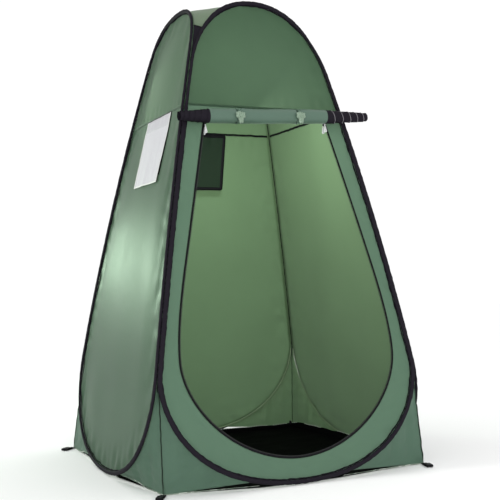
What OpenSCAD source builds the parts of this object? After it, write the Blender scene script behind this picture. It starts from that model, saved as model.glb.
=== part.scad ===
// Pop-up privacy shower tent: four spring hoops in sleeves, sewn to four leaning walls,
// with a roof between the arches, staked corner gussets, a floor and a rolled-up zip door.
// The front wall faces -Y, +Z is up and the origin is on the ground at the centre.

/* [Walls] */
// Distance from the centre to each wall at the ground
wall_ground = 593; // [560:1:620]
// How far a straight wall would lean in over the reference height
wall_lean = 247; // [200:1:280]
// Extra inward bow of the wall over the reference height
wall_bow = 118; // [60:1:140]
// Thickness of the wall fabric, drawn thicker than the cloth
fabric = 1.2; // [0.8:0.1:1.6]
// Height of the seam between the upper and lower panels
seam_z = 1436; // [1425:1:1450]

/* [Hoops] */
// Height of the front and back arches, at the wire
front_top = 1886; // [1850:1:1920]
// Height of the left arch, at the wire
left_top = 1877; // [1850:1:1920]
// Height of the right arch, at the wire
right_top = 1862; // [1850:1:1920]
// Height where neighbouring hoops part, going down
join_low = 429; // [380:1:460]
// Height where neighbouring hoops part, going up
join_high = 1600; // [1560:1:1640]
// Spring wire diameter
wire_d = 4; // [3:0.5:5]
// Width of a sleeve in the plane of its wall
sleeve_w = 20; // [18:1:24]
// Thickness of a sleeve across the wall
sleeve_t = 12; // [11:1:14]

/* [Ground corners] */
// Position of the front left corner
corner_front_left = [-514, -512]; // [-620:1:620]
// Position of the front right corner
corner_front_right = [587, -515]; // [-620:1:620]
// Position of the back right corner
corner_back_right = [544, 574]; // [-620:1:620]
// Position of the back left corner
corner_back_left = [-579, 576]; // [-620:1:620]

/* [Door] */
// Half width of the door where its straight side starts, at the top
door_top_half = 264; // [250:1:280]
// Height of the door's top edge
door_top = 1405; // [1395:1:1415]
// How much the door widens for each millimetre further down
door_flare = 0.23; // [0.2:0.01:0.25]
// Height where the straight side ends
door_straight_end = 850; // [800:1:900]
// Half width of the door at its widest
door_max_half = 450; // [440:1:460]
// Height of the widest place
door_max_z = 474; // [440:1:500]
// Height of the lowest place of the zip
door_bottom = 92; // [85:1:110]

/* [Zip] */
// Width of the zip tape
tape_w = 7; // [6:0.5:9]
// Width of the row of teeth
chain_w = 3.5; // [3:0.5:4]
// Height of the left slider
slider_left_z = 1358; // [1340:1:1362]
// Height of the right slider
slider_right_z = 1384; // [1350:1:1384]

/* [Rolled door] */
// Left end of the roll
roll_left = -383; // [-400:1:-360]
// Right end of the roll
roll_right = 445; // [400:1:460]
// Height of the roll's axis at the centre of the tent
roll_z = 1396; // [1390:1:1400]
// Tilt of the roll, right end up
roll_tilt = 2.4; // [0:0.1:3]
// Radius of the green middle of the roll
roll_r = 29; // [26:0.5:30]
// Distance from the roll's axis to the wall
roll_standoff = 39; // [38:1:44]

/* [Windows] */
// Width of a window flap
window_w = 300; // [260:5:320]
// Height of a window flap
window_h = 281; // [240:1:300]
// How far a flap hangs below its window
flap_lap = 34; // [10:1:60]
// Offset of a window from the middle of its wall, seen from outside
window_shift = 42; // [0:1:60]

/* [Stake loops] */
// Length of a stake loop
loop_len = 80; // [60:1:90]
// Width of the webbing
loop_w = 25; // [20:1:30]

/* [Hidden] */
$fn = 32;

ref_height = 1900;
gap = 0.3;                                   // least clearance between neighbours
hoop_low = sleeve_w / 2;                     // the lowest wire, with its sleeve on the ground
hoop_out = sleeve_t / 2 + gap;               // wire centre outside the wall's outer face
hoop_tuck = sleeve_t / 2 - 0.4;                // wire centre in from the corner, so sleeves clear
panel_tuck = fabric + gap;                   // panel edge in from the corner
sheet_in = fabric + 0.6;                     // gussets, patches and roof start this far inside

// Handles of the curves under and over the straight sides of a hoop:
// ground handle, lower side handle, upper side handle, arch handle
front_curve = [462, 110, 104, 192, front_top];
left_curve = [457, 161, 145, 245, left_top];
right_curve = [457, 161, 70, 190, right_top];
curves = [front_curve, right_curve, front_curve, left_curve];
roof_z = (front_top + left_top) / 2;

FRONT = 0;
RIGHT = 1;
BACK = 2;
LEFT = 3;

// Corner k: the signs of x and y there, and its place on the ground
corner_signs = [[-1, -1], [1, -1], [1, 1], [-1, 1]];
ground_corners = [corner_front_left, corner_front_right, corner_back_right, corner_back_left];
loop_angles = [240, 255, 60, 222];           // the way each stake loop lies

fabric_green = [0.40, 0.50, 0.43];
panel_green = [0.50, 0.64, 0.51];
olive = [0.45, 0.52, 0.42];
black_web = [0.10, 0.10, 0.11];
sleeve_black = [0.14, 0.13, 0.15];
steel = [0.55, 0.56, 0.58];
pale = [0.86, 0.86, 0.88];

// ---- Curves and outlines ------------------------------------------------------------

// Distance from the centre axis to the wall's outer face at height z, and its slope
function wall(z) = wall_ground - wall_lean * z / ref_height - wall_bow * pow(z / ref_height, 2);
function wall_slope(z) = -wall_lean / ref_height - 2 * wall_bow * z / pow(ref_height, 2);

function bezier(a, b, c, d, t) =
    a * pow(1 - t, 3) + b * 3 * t * pow(1 - t, 2) + c * 3 * t * t * (1 - t) + d * pow(t, 3);
function unit(v) = v / norm(v);
function mirrored(pts) = [for (p = pts) [-p.x, p.y]];
function backwards(pts) = [for (i = [len(pts) - 1 : -1 : 0]) pts[i]];

// Half outline of a hoop in its wall, [half width, height]: under, along and over the sides
function side_half(z, tuck) = wall(z) - tuck;
function hoop_under(c, tuck, t) =
    bezier([0, hoop_low], [c[0], hoop_low],
           [side_half(join_low, tuck) - wall_slope(join_low) * c[1], join_low - c[1]],
           [side_half(join_low, tuck), join_low], t);
function hoop_over(c, tuck, t) =
    bezier([side_half(join_high, tuck), join_high],
           [side_half(join_high, tuck) + wall_slope(join_high) * c[2], join_high + c[2]],
           [c[3], c[4]], [0, c[4]], t);
function hoop_half(c, tuck) = concat(
    [for (i = [1 : 9]) hoop_under(c, tuck, i / 9)],
    [for (i = [1 : 9]) let (z = join_low + (join_high - join_low) * i / 10) [side_half(z, tuck), z]],
    [for (i = [0 : 9]) hoop_over(c, tuck, i / 10)]);
function hoop_outline(c, tuck) = concat(
    [[0, hoop_low]], hoop_half(c, tuck), [[0, c[4]]], backwards(mirrored(hoop_half(c, tuck))));

// The door's outline, from the middle of its bottom edge round to the middle of its top
door_knee = [door_top_half + door_flare * (door_top - door_straight_end), door_straight_end];
door_widest = [door_max_half, door_max_z];
door_half = concat(
    [for (i = [0 : 9]) bezier([0, door_bottom], [255, door_bottom + 4],
                              [door_max_half, door_max_z - 174], door_widest, i / 10)],
    [for (i = [0 : 7]) bezier(door_widest, door_widest + [0, 120],
                              door_knee + [door_flare * 110, -110], door_knee, i / 8)],
    [door_knee, [door_top_half, door_top]]);
door_outline = concat(door_half,
                      backwards(mirrored([for (i = [1 : len(door_half) - 1]) door_half[i]])));

// A closed outline moved inward by d
function inset(pts, d) = [for (i = [0 : len(pts) - 1])
    let (n = len(pts), t = unit(pts[(i + 1) % n] - pts[(i + n - 1) % n])) pts[i] + d * [-t.y, t.x]];

function rectangle(x0, x1, z0, z1) = [[x0, z0], [x1, z0], [x1, z1], [x0, z1]];

// ---- Solids from rings --------------------------------------------------------------

// One closed solid through a list of rings, each with the same number of points. The sides in
// "turned" take the other diagonal, so that both faces of a twisted sheet match.
module skin(rings, turned = []) {
    n = len(rings[0]);
    m = len(rings);
    sides = [for (i = [0 : m - 2], j = [0 : n - 1])
        let (a = i * n + j, b = i * n + (j + 1) % n)
        each len(search(j, turned)) > 0 ? [[a, a + n, b], [b, a + n, b + n]]
                                        : [[a, a + n, b + n], [a, b + n, b]]];
    far = (m - 1) * n;
    caps = [for (j = [1 : n - 2]) each [[0, j, j + 1], [far, far + j + 1, far + j]]];
    polyhedron([for (r = rings, p = r) p], concat(sides, caps));
}

// The same through rings with a bore: each ring is the outer loop followed by the inner one
module tube_skin(outer, inner) {
    n = len(outer[0]);
    m = len(outer);
    k0 = n * m;
    function quad(a, b, c, d) = [[a, b, c], [a, c, d]];
    faces = concat(
        [for (i = [0 : m - 2], j = [0 : n - 1]) let (a = i * n + j, b = i * n + (j + 1) % n)
            each quad(a, a + n, b + n, b)],
        [for (i = [0 : m - 2], j = [0 : n - 1]) let (a = k0 + i * n + j, b = k0 + i * n + (j + 1) % n)
            each quad(a, b, b + n, a + n)],
        [for (j = [0 : n - 1]) let (b = (j + 1) % n) each quad(j, b, k0 + b, k0 + j)],
        [for (j = [0 : n - 1]) let (s = (m - 1) * n, b = (j + 1) % n)
            each quad(s + b, s + j, k0 + s + j, k0 + s + b)]);
    polyhedron([for (r = concat(outer, inner), p = r) p], faces);
}

// The wire's path round a hoop, from just right of the bottom round to just left of it
function hoop_path(c) = [for (p = concat([[2, hoop_low]], hoop_half(c, hoop_tuck), [[0, c[4]]],
                                         backwards(mirrored(hoop_half(c, hoop_tuck))),
                                         [[-2, hoop_low]]))
    [p.x, -(wall(p.y) + hoop_out), p.y]];

// Elliptical rings of n points along the path, a across and b through the wall
function hoop_rings(path, a, b, n) = [for (i = [0 : len(path) - 1])
    let (last = len(path) - 1,
         t = unit(path[min(i + 1, last)] - path[max(i - 1, 0)]),
         o = unit([0, -1, -wall_slope(path[i].z)]),
         s = unit(cross(t, o)))
    [for (j = [0 : n - 1]) path[i] + s * a * cos(360 * j / n) + o * b * sin(360 * j / n)]];

// ---- Wall pieces --------------------------------------------------------------------

// Turns a front piece round to the right, back or left wall
module on_wall(side) {
    rotate([0, 0, 90 * side]) children();
}

// A sheet that follows the front wall, with its outer face out from the wall's
module wall_slab(z0, z1, out, thick) {
    rows = 12;
    heights = [for (i = [0 : rows]) z0 + (z1 - z0) * i / rows];
    rotate([90, 0, 90])
    translate([0, 0, -700])
    linear_extrude(1400)
    polygon(concat([for (z = heights) [-(wall(z) + out), z]],
                   [for (z = backwards(heights)) [-(wall(z) + out - thick), z]]));
}

// The space behind an outline in the front wall
module through(outline) {
    rotate([90, 0, 0]) linear_extrude(700) polygon(outline);
}

// A wall sheet trimmed to an outline
module wall_piece(outline, z0, z1, out, thick) {
    intersection() {
        wall_slab(z0, z1, out, thick);
        through(outline);
    }
}

// The part of a wall piece between an outline and the same outline moved in by w
module wall_ring(outline, w, z0, z1, out, thick) {
    difference() {
        wall_piece(outline, z0, z1, out, thick);
        through(inset(outline, w));
    }
}

module upper_panel(side) {
    color(fabric_green)
    on_wall(side)
    wall_piece(hoop_outline(curves[side], panel_tuck), seam_z, front_top + 20, 0, fabric);
}

module lower_panel(side) {
    color(panel_green)
    on_wall(side)
    wall_piece(hoop_outline(curves[side], panel_tuck), 0, seam_z, 0, fabric);
}

window_outline = rectangle(window_shift - window_w / 2, window_shift + window_w / 2,
                           seam_z - 6 - window_h + flap_lap, seam_z - 6);
flap_outline = rectangle(window_shift - window_w / 2, window_shift + window_w / 2,
                         seam_z - 6 - window_h, seam_z - 6);
window_low = seam_z - 30 - window_h;

module windowed_panel(side) {
    difference() {
        lower_panel(side);
        on_wall(side) through(inset(window_outline, 8));
    }
}

module seam_tape(side) {
    end = wall(seam_z) - 12;
    color(black_web)
    on_wall(side)
    wall_piece(rectangle(-end, end, seam_z - 6, seam_z + 6), seam_z - 6, seam_z + 6,
               -fabric - gap, 1);
}

// ---- Hoops and sleeves --------------------------------------------------------------

module hoop(side) {
    color(steel)
    on_wall(side)
    skin(hoop_rings(hoop_path(curves[side]), wire_d / 2, wire_d / 2, 6));
}

// A cloth tube with its mouth under the hoop's ferrule
module sleeve(side) {
    path = hoop_path(curves[side]);
    color(sleeve_black)
    on_wall(side)
    tube_skin(hoop_rings(path, sleeve_w / 2, sleeve_t / 2, 8),
              hoop_rings(path, sleeve_w / 2 - 2, sleeve_t / 2 - 1.6, 8));
}

// Crimped tubes that join the two ends of each wire
module hoop_ferrules() {
    color(steel)
    for (side = [FRONT : LEFT])
        on_wall(side)
        translate([0, -(wall(hoop_low) + hoop_out), hoop_low])
        rotate([0, 90, 0])
        difference() {
            cylinder(d = wire_d + 3.4, h = 24, center = true);
            cylinder(d = wire_d + 1.6, h = 30, center = true);
        }
}

// ---- Corners, roof and floor --------------------------------------------------------

// A hoop point brought into place at corner k, on the wall across y or the wall across x
function on_y_wall(k, p) = let (s = corner_signs[k]) [s.x * p.x, s.y * (wall(p.y) - sheet_in), p.y];
function on_x_wall(k, p) = let (s = corner_signs[k]) [s.x * (wall(p.y) - sheet_in), s.y * p.x, p.y];

// Rings of a thin sheet between two edges, with v added for the inner face
function sheet_rings(a, b, va, vb, flip) = [for (i = [0 : len(a) - 1])
    flip ? [b[i], a[i], a[i] + va[i], b[i] + vb[i]] : [a[i], b[i], b[i] + vb[i], a[i] + va[i]]];
function flips(k) = corner_signs[k].x * corner_signs[k].y > 0;

// Two triangles from the low sides of the hoops to the seam that runs down to the ground corner
module ground_gusset(k) {
    s = corner_signs[k];
    ground = [ground_corners[k].x, ground_corners[k].y, 0];
    join = [s.x * (wall(join_low) - sheet_in), s.y * (wall(join_low) - sheet_in), join_low];
    steps = 9;
    v = [-s.x, -s.y, 0] * fabric * 0.75;
    color(fabric_green)
    skin([for (i = [0 : steps])
        let (t = 0.97 + (0.14 - 0.97) * i / steps,
             seam = join + (ground - join) * (0.015 + 0.985 * i / steps),
             y_edge = on_y_wall(k, hoop_under(front_curve, panel_tuck, t)),
             x_edge = on_x_wall(k, hoop_under(left_curve, panel_tuck, t)))
        flips(k) ? [seam, x_edge, x_edge + v, seam + v, y_edge + v, y_edge]
                 : [seam, y_edge, y_edge + v, seam + v, x_edge + v, x_edge]], [2, 3]);
}

// Inward and downward shift of a point of the roof, for its lower face
function under(p) = [-p.x, -p.y, 0] / max(norm([p.x, p.y]), 1) * 0.9 + [0, 0, -1];

function arch_y(k, t) = on_y_wall(k, hoop_over(front_curve, hoop_tuck, t));
function arch_x(k, t) = on_x_wall(k, hoop_over(corner_signs[k].x > 0 ? right_curve : left_curve,
                                               hoop_tuck, t));
patch_end = 0.45;

module corner_patch(k) {
    ts = [for (i = [0 : 6]) 0.08 + (patch_end - 0.08) * i / 6];
    a = [for (t = ts) arch_y(k, t)];
    b = [for (t = ts) arch_x(k, t)];
    color(sleeve_black)
    skin(sheet_rings(a, b, [for (p = a) under(p)], [for (p = b) under(p)], flips(k)), [2]);
}

// A quarter of the roof: ruled between two arches, then flat to the middle
module roof_quarter(k) {
    ts = [for (i = [0 : 7]) patch_end + (1 - patch_end) * i / 7];
    middle = [0, 0, roof_z];
    a = concat([for (t = ts) arch_y(k, t)], [middle + [0, corner_signs[k].y, 0]]);
    b = concat([for (t = ts) arch_x(k, t)], [middle + [corner_signs[k].x, 0, 0]]);
    skin(sheet_rings(a, b, [for (p = a) under(p)], [for (p = b) under(p)], flips(k)), [2]);
}

module roof_panel() {
    color(olive) {
        for (k = [0 : 3])
            roof_quarter(k);
        translate([0, 0, roof_z - 1]) cylinder(r = 12, h = 1);
    }
}

// Black ground sheet, out to the hoops in the middle of each side and to the four corners
module floor_sheet() {
    color(black_web)
    linear_extrude(1.5)
    footprint(wall(0) - sheet_in - 2, 3);
}

// The tent's outline on the ground, with its corners moved in
module footprint(edge, corner_in) {
    reach = 150;
    mids = [[-reach, -edge], [reach, -edge], [edge, -reach], [edge, reach],
            [reach, edge], [-reach, edge], [-edge, reach], [-edge, -reach]];
    polygon([for (k = [0 : 3])
        let (s = corner_signs[k])
        each [mids[(2 * k + 7) % 8], ground_corners[k] - s * corner_in, mids[2 * k]]]);
}

// L-shaped binding inside each corner, from where the hoops meet to where they part
module corner_tapes() {
    leg = 7;
    heights = [for (i = [0 : 8]) join_low + 20 + (join_high - join_low - 50) * i / 8];
    color(black_web)
    for (k = [0 : 3])
        rotate([0, 0, 90 * k])
        skin([for (z = heights)
            let (a = wall(z) - fabric - gap - 0.1)
            [for (p = [[0, 0], [0, leg], [1, leg], [1, 1], [leg, 1], [leg, 0]])
                [p.x - a, p.y - a, z]]]);
}

// ---- Windows ------------------------------------------------------------------------

module window_mesh(side) {
    color([0.12, 0.16, 0.12])
    on_wall(side)
    wall_piece(inset(window_outline, 8.5), window_low, seam_z, -0.2, 0.8);
}

module window_binding(side) {
    color(black_web)
    on_wall(side)
    wall_ring(inset(window_outline, -4), 14, window_low, seam_z, 1.4, 1.3);
}

module window_flap(side) {
    color(pale)
    on_wall(side)
    wall_piece(flap_outline, window_low, seam_z, 3.2, 1.4);
}

// ---- Zip ----------------------------------------------------------------------------

module door_surround() {
    difference() {
        lower_panel(FRONT);
        through(door_outline);
    }
}

module zip_tape() {
    color(black_web)
    wall_ring(inset(door_outline, 0.3), tape_w, 0, door_top - 15, -0.1, 1);
}

module zip_chain() {
    color(black_web)
    wall_ring(inset(door_outline, tape_w + 0.4), chain_w, 0, door_top - 15, 1, 3);
}

track_inset = tape_w + 0.4 + chain_w / 2;    // chain centre in from the door's outline
function track_x(z) = door_top_half + door_flare * (door_top - z) - track_inset;
function lean(z) = atan(-wall_slope(z));
flare_angle = atan(door_flare);
pin_out = 7.4;                               // outer pull's pin out from the wall
pin_in = 6.8;                                // inner pull's pin in from the wall
pin_drop = 4;                                // both pins below the slider's middle
slider_sag = 20;                             // the slider leans as the wall does this far below

module slider_plate(y) {
    translate([0, y, 0])
    rotate([90, 0, 0])
    linear_extrude(1.5)
    intersection() {
        square([11, 16], center = true);
        circle(r = 8.4);
    }
}

// Two posts and the pin that a pull hangs on, with y the pin's place
module pull_bail(y, base) {
    for (x = [-3.6, 2.6])
        translate([x, min(y - 1, base), -pin_drop - 1.4])
        cube([1, abs(y - base) + 1, 2.8]);
    translate([0, y, -pin_drop]) rotate([0, 90, 0]) cylinder(d = 1.5, h = 7.2, center = true);
}

// Puts a piece on the track at height z, on the left (-1) or right (1) side of the door
module at_slider(z, sign) {
    translate([sign * track_x(z), -wall(z), z])
    rotate([-lean(z - slider_sag), 0, 0])
    children();
}

module zip_slider(z, sign) {
    color(black_web)
    at_slider(z, sign) {
        rotate([0, -sign * flare_angle, 0]) {
            slider_plate(-3.2);
            slider_plate(4.1);
            translate([-sign * 4.6 - 0.9, -3.4, -2]) cube([1.8, 6.2, 9]);
        }
        pull_bail(-pin_out, -4.6);
        mirror([0, 1, 0]) pull_bail(-pin_in, -4);
    }
}

// A drop-shaped tag on a knuckle, hanging from its pin
module pull_tag() {
    tag_len = 34;
    rotate([0, 90, 0])
    difference() {
        cylinder(d = 4.4, h = 4.6, center = true);
        cylinder(d = 2, h = 6, center = true);
    }
    translate([0, 0.8, 0])
    rotate([90, 0, 0])
    linear_extrude(1.6)
    difference() {
        union() {
            polygon([[-1.9, -1.6], [-1.9, -6], [-3.2, -10], [-6, 6 - tag_len],
                     [6, 6 - tag_len], [3.2, -10], [1.9, -6], [1.9, -1.6]]);
            translate([0, 6 - tag_len]) circle(r = 6);
        }
        translate([0, 6 - tag_len]) circle(r = 1.6);
    }
}

module zip_pull(z, sign) {
    color(pale)
    at_slider(z, sign)
    translate([0, -pin_out, -pin_drop])
    pull_tag();
}

// The pull inside the tent hangs straight down, clear of the leaning wall
module inner_pull(z, sign) {
    color(pale)
    at_slider(z, sign)
    translate([0, pin_in, -pin_drop])
    rotate([lean(z - slider_sag), 0, 0])
    pull_tag();
}

// ---- Rolled door --------------------------------------------------------------------

green_left = -262;
green_right = 253;
end_r = 19;
crown = 22;
tie_x = [-142, 118];

// The roll's frame: x along its axis, from the place over the tent's centre
module roll_frame() {
    translate([0, -(wall(roll_z) + roll_standoff), roll_z])
    rotate([0, -roll_tilt, 0])
    children();
}

// A cone along x from x0 to x1
module roll_cone(x0, x1, r0, r1) {
    translate([x0, 0, 0]) rotate([0, 90, 0]) cylinder(r1 = r0, r2 = r1, h = x1 - x0, $fn = 48);
}

module door_roll() {
    color(fabric_green)
    roll_frame() {
        roll_cone(green_left, green_left + crown, roll_r - 2.5, roll_r);
        roll_cone(green_left + crown, green_right - crown, roll_r, roll_r);
        roll_cone(green_right - crown, green_right, roll_r, roll_r - 3);
        translate([14 - door_top_half, roll_r - 4, 6]) cube([2 * door_top_half - 28, 12, fabric]);
    }
}

module door_roll_end(x0, x1, r0, r1) {
    color(sleeve_black)
    roll_frame()
    roll_cone(x0, x1, r0, r1);
}

// A band round the roll, slit where the door's cloth passes, with a strap up to the seam
module door_tie(x) {
    color(fabric_green)
    roll_frame()
    translate([x, 0, 0]) {
        difference() {
            rotate([0, 90, 0]) cylinder(r = roll_r + 2, h = 14, center = true, $fn = 48);
            rotate([0, 90, 0]) cylinder(r = roll_r + 0.5, h = 16, center = true, $fn = 48);
            translate([-8, 20, 5.5]) cube([16, 20, fabric + 1]);
        }
        hull() {
            translate([-7, 20, 21.4]) cube([14, 1.5, 1.5]);
            translate([-7, roll_standoff + 2.2, 27]) cube([14, 1.5, 1.5]);
        }
    }
}

// A bar that turns on a short stem to pass through its loop
module toggle(x) {
    color(pale)
    roll_frame()
    translate([x, -roll_r - 1.4, -9]) {
        rotate([90, 0, 0]) cylinder(d = 3, h = 4);
        translate([0, -6.5, 0]) {
            rotate([0, 90, 0]) cylinder(d = 8, h = 20, center = true);
            for (e = [-10, 10])
                translate([e, 0, 0]) sphere(d = 8);
        }
    }
}

// ---- Stake loops --------------------------------------------------------------------

loop_t = 1.7;
eye_h = 10;

// Folded webbing in side view: two layers sewn together, then an open eye
module loop_profile() {
    r = eye_h / 2;
    difference() {
        union() {
            polygon([[3, 0], [loop_len - r, 0], [loop_len - r, eye_h],
                     [32, eye_h], [22, 2 * loop_t], [3, 2 * loop_t]]);
            translate([loop_len - r, r]) circle(r = r);
        }
        polygon([[25, loop_t], [loop_len - r, loop_t],
                 [loop_len - r, eye_h - loop_t], [33, eye_h - loop_t]]);
        translate([loop_len - r, r]) circle(r = r - loop_t);
    }
}

// Cut off along the foot of the tent
module stake_loop(k) {
    color(black_web)
    difference() {
        translate([ground_corners[k].x, ground_corners[k].y, 0])
        rotate([0, 0, loop_angles[k]])
        rotate([90, 0, 0])
        linear_extrude(loop_w, center = true)
        loop_profile();
        translate([0, 0, -1]) linear_extrude(20) footprint(wall(0), -1);
    }
}

// ---- Nodes --------------------------------------------------------------------------

hoop(FRONT);  // front_hoop
hoop(RIGHT);  // right_hoop
hoop(BACK);  // back_hoop
hoop(LEFT);  // left_hoop
hoop_ferrules();
sleeve(FRONT);  // front_sleeve
sleeve(RIGHT);  // right_sleeve
sleeve(BACK);  // back_sleeve
sleeve(LEFT);  // left_sleeve
upper_panel(FRONT);  // front_upper_panel
upper_panel(RIGHT);  // right_upper_panel
upper_panel(BACK);  // back_upper_panel
upper_panel(LEFT);  // left_upper_panel
door_surround();
lower_panel(RIGHT);  // right_lower_panel
windowed_panel(BACK);  // back_lower_panel
windowed_panel(LEFT);  // left_lower_panel
roof_panel();
corner_patch(0);  // corner_patch_front_left
corner_patch(1);  // corner_patch_front_right
corner_patch(2);  // corner_patch_back_right
corner_patch(3);  // corner_patch_back_left
ground_gusset(0);  // ground_gusset_front_left
ground_gusset(1);  // ground_gusset_front_right
ground_gusset(2);  // ground_gusset_back_right
ground_gusset(3);  // ground_gusset_back_left
floor_sheet();
window_mesh(LEFT);  // left_window_mesh
window_mesh(BACK);  // back_window_mesh
window_binding(LEFT);  // left_window_binding
window_binding(BACK);  // back_window_binding
window_flap(LEFT);  // left_window_flap
window_flap(BACK);  // back_window_flap
seam_tape(FRONT);  // front_seam_tape
seam_tape(RIGHT);  // right_seam_tape
seam_tape(BACK);  // back_seam_tape
seam_tape(LEFT);  // left_seam_tape
corner_tapes();
zip_tape();
zip_chain();
zip_slider(slider_left_z, -1);  // zip_slider_left
zip_slider(slider_right_z, 1);  // zip_slider_right
zip_pull(slider_left_z, -1);  // zip_pull_left
zip_pull(slider_right_z, 1);  // zip_pull_right
inner_pull(slider_left_z, -1);  // inner_pull_left
inner_pull(slider_right_z, 1);  // inner_pull_right
door_roll();
door_roll_end(roll_left, green_left - gap, end_r, roll_r - 3);  // door_roll_end_left
door_roll_end(green_right + gap, roll_right, roll_r - 3.5, end_r);  // door_roll_end_right
door_tie(tie_x[0]);  // door_tie_left
door_tie(tie_x[1]);  // door_tie_right
toggle(tie_x[0]);  // toggle_left
toggle(tie_x[1]);  // toggle_right
stake_loop(0);  // stake_loop_front_left
stake_loop(1);  // stake_loop_front_right
stake_loop(2);  // stake_loop_back_right
stake_loop(3);  // stake_loop_back_left
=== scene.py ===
"""Looks of the pop-up privacy shower tent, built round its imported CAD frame. Metres, +Z up,
the door faces -Y. Cloth is built as grids that follow the leaning walls, then creased in code."""
import math

import bpy
import numpy as np
from mathutils import Matrix, Vector
from mathutils.bvhtree import BVHTree


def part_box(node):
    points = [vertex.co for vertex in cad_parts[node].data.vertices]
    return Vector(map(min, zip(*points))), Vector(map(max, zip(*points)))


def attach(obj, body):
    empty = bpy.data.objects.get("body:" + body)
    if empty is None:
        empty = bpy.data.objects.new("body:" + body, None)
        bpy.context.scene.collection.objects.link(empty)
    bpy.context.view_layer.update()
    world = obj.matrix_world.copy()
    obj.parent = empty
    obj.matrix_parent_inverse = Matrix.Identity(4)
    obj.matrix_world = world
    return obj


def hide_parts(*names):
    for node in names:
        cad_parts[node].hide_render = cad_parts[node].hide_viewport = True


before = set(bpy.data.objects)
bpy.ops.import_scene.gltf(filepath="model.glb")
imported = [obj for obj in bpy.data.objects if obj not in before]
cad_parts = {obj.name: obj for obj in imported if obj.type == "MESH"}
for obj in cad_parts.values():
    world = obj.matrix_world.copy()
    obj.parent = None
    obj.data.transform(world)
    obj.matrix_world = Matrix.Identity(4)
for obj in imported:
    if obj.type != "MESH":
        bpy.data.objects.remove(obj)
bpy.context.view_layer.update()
MM = 0.001


def camera():
    """Eye height, a little left of the door, with a moderately long lens."""
    yaw, pitch, roll = 0.4201, 0.0266, -0.0229
    forward = Vector((math.sin(yaw) * math.cos(pitch), math.cos(yaw) * math.cos(pitch),
                      math.sin(pitch)))
    level = Vector((math.cos(yaw), -math.sin(yaw), 0))
    upright = level.cross(forward)
    right = level * math.cos(roll) + upright * math.sin(roll)
    up = upright * math.cos(roll) - level * math.sin(roll)
    data = bpy.data.cameras.new("camera")
    data.sensor_width, data.lens = 36.0, 66.24
    data.clip_end = 60
    eye = bpy.data.objects.new("camera", data)
    turn = Matrix((right, up, -forward)).transposed().to_4x4()
    eye.matrix_world = Matrix.Translation((-1.5543, -3.6432, 0.7766)) @ turn
    bpy.context.scene.collection.objects.link(eye)
    bpy.context.scene.camera = eye


camera()

# ---- Driving dimensions, as in the CAD ------------------------------------------------
REF_HEIGHT = 1.9
WALL_GROUND, WALL_LEAN, WALL_BOW = 0.593, 0.247, 0.118
SEAM_Z = 1.436
JOIN_LOW, JOIN_HIGH, HOOP_LOW = 0.429, 1.600, 0.010
HOOP_OUT, HOOP_TUCK = 0.0063, 0.0056
SLEEVE_W, SLEEVE_T = 0.020, 0.012
FRONT, RIGHT, BACK, LEFT = range(4)
SIDES = ("front", "right", "back", "left")
FRONT_CURVE = (0.462, 0.110, 0.104, 0.192, 1.886)
LEFT_CURVE = (0.457, 0.161, 0.145, 0.245, 1.877)
RIGHT_CURVE = (0.457, 0.161, 0.070, 0.190, 1.862)
CURVES = (FRONT_CURVE, RIGHT_CURVE, FRONT_CURVE, LEFT_CURVE)
CORNERS = ("front_left", "front_right", "back_right", "back_left")
SIGNS = ((-1, -1), (1, -1), (1, 1), (-1, 1))
GROUND = ((-0.514, -0.512), (0.587, -0.515), (0.544, 0.574), (-0.579, 0.576))
LOOP_ANGLES = (240, 255, 60, 222)
DOOR_TOP_HALF, DOOR_TOP, DOOR_FLARE, DOOR_KNEE_Z = 0.264, 1.405, 0.23, 0.850
DOOR_MAX_HALF, DOOR_MAX_Z, DOOR_BOTTOM = 0.450, 0.474, 0.092
WINDOW_W, FLAP_H, FLAP_LAP, WINDOW_SHIFT = 0.300, 0.281, 0.034, 0.042
ROLL_Z, ROLL_OUT, ROLL_TILT = 1.396, 0.039, math.radians(2.4)
TIES = (-0.142, 0.118)


# ---- Curves ----------------------------------------------------------------------------
def wall(z):
    """Distance from the centre axis to a wall's outer face at height z."""
    h = np.asarray(z, float) / REF_HEIGHT
    return WALL_GROUND - WALL_LEAN * h - WALL_BOW * h * h


def wall_slope(z):
    return -WALL_LEAN / REF_HEIGHT - 2 * WALL_BOW * np.asarray(z, float) / REF_HEIGHT**2


def bezier(points, n):
    """n points along a cubic curve, ends included."""
    a, b, c, d = (np.array(p, float) for p in points)
    t = np.linspace(0, 1, n)[:, None]
    return a * (1 - t) ** 3 + 3 * b * t * (1 - t) ** 2 + 3 * c * t * t * (1 - t) + d * t**3


def lengths(points):
    """Distance along a polyline at each of its points, from 0."""
    return np.r_[0, np.cumsum(np.linalg.norm(np.diff(points, axis=0), axis=1))]


def resample(points, n):
    """n points evenly spaced along a polyline."""
    steps = lengths(points)
    at = np.linspace(0, steps[-1], n)
    return np.stack([np.interp(at, steps, points[:, k]) for k in range(points.shape[1])], 1)


def hoop_under(curve, tuck):
    side = wall(JOIN_LOW) - tuck
    knee = (side - wall_slope(JOIN_LOW) * curve[1], JOIN_LOW - curve[1])
    return bezier(((0, HOOP_LOW), (curve[0], HOOP_LOW), knee, (side, JOIN_LOW)), 80)


def hoop_over(curve, tuck):
    side = wall(JOIN_HIGH) - tuck
    knee = (side + wall_slope(JOIN_HIGH) * curve[2], JOIN_HIGH + curve[2])
    return bezier(((side, JOIN_HIGH), knee, (curve[3], curve[4]), (0, curve[4])), 80)


def hoop_half(curve, tuck):
    """Right half of a hoop in its wall, [half width, height], from the ground to the top."""
    z = np.linspace(JOIN_LOW, JOIN_HIGH, 80)[1:-1]
    flank = np.stack([wall(z) - tuck, z], 1)
    return np.concatenate([hoop_under(curve, tuck), flank, hoop_over(curve, tuck)])


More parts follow.
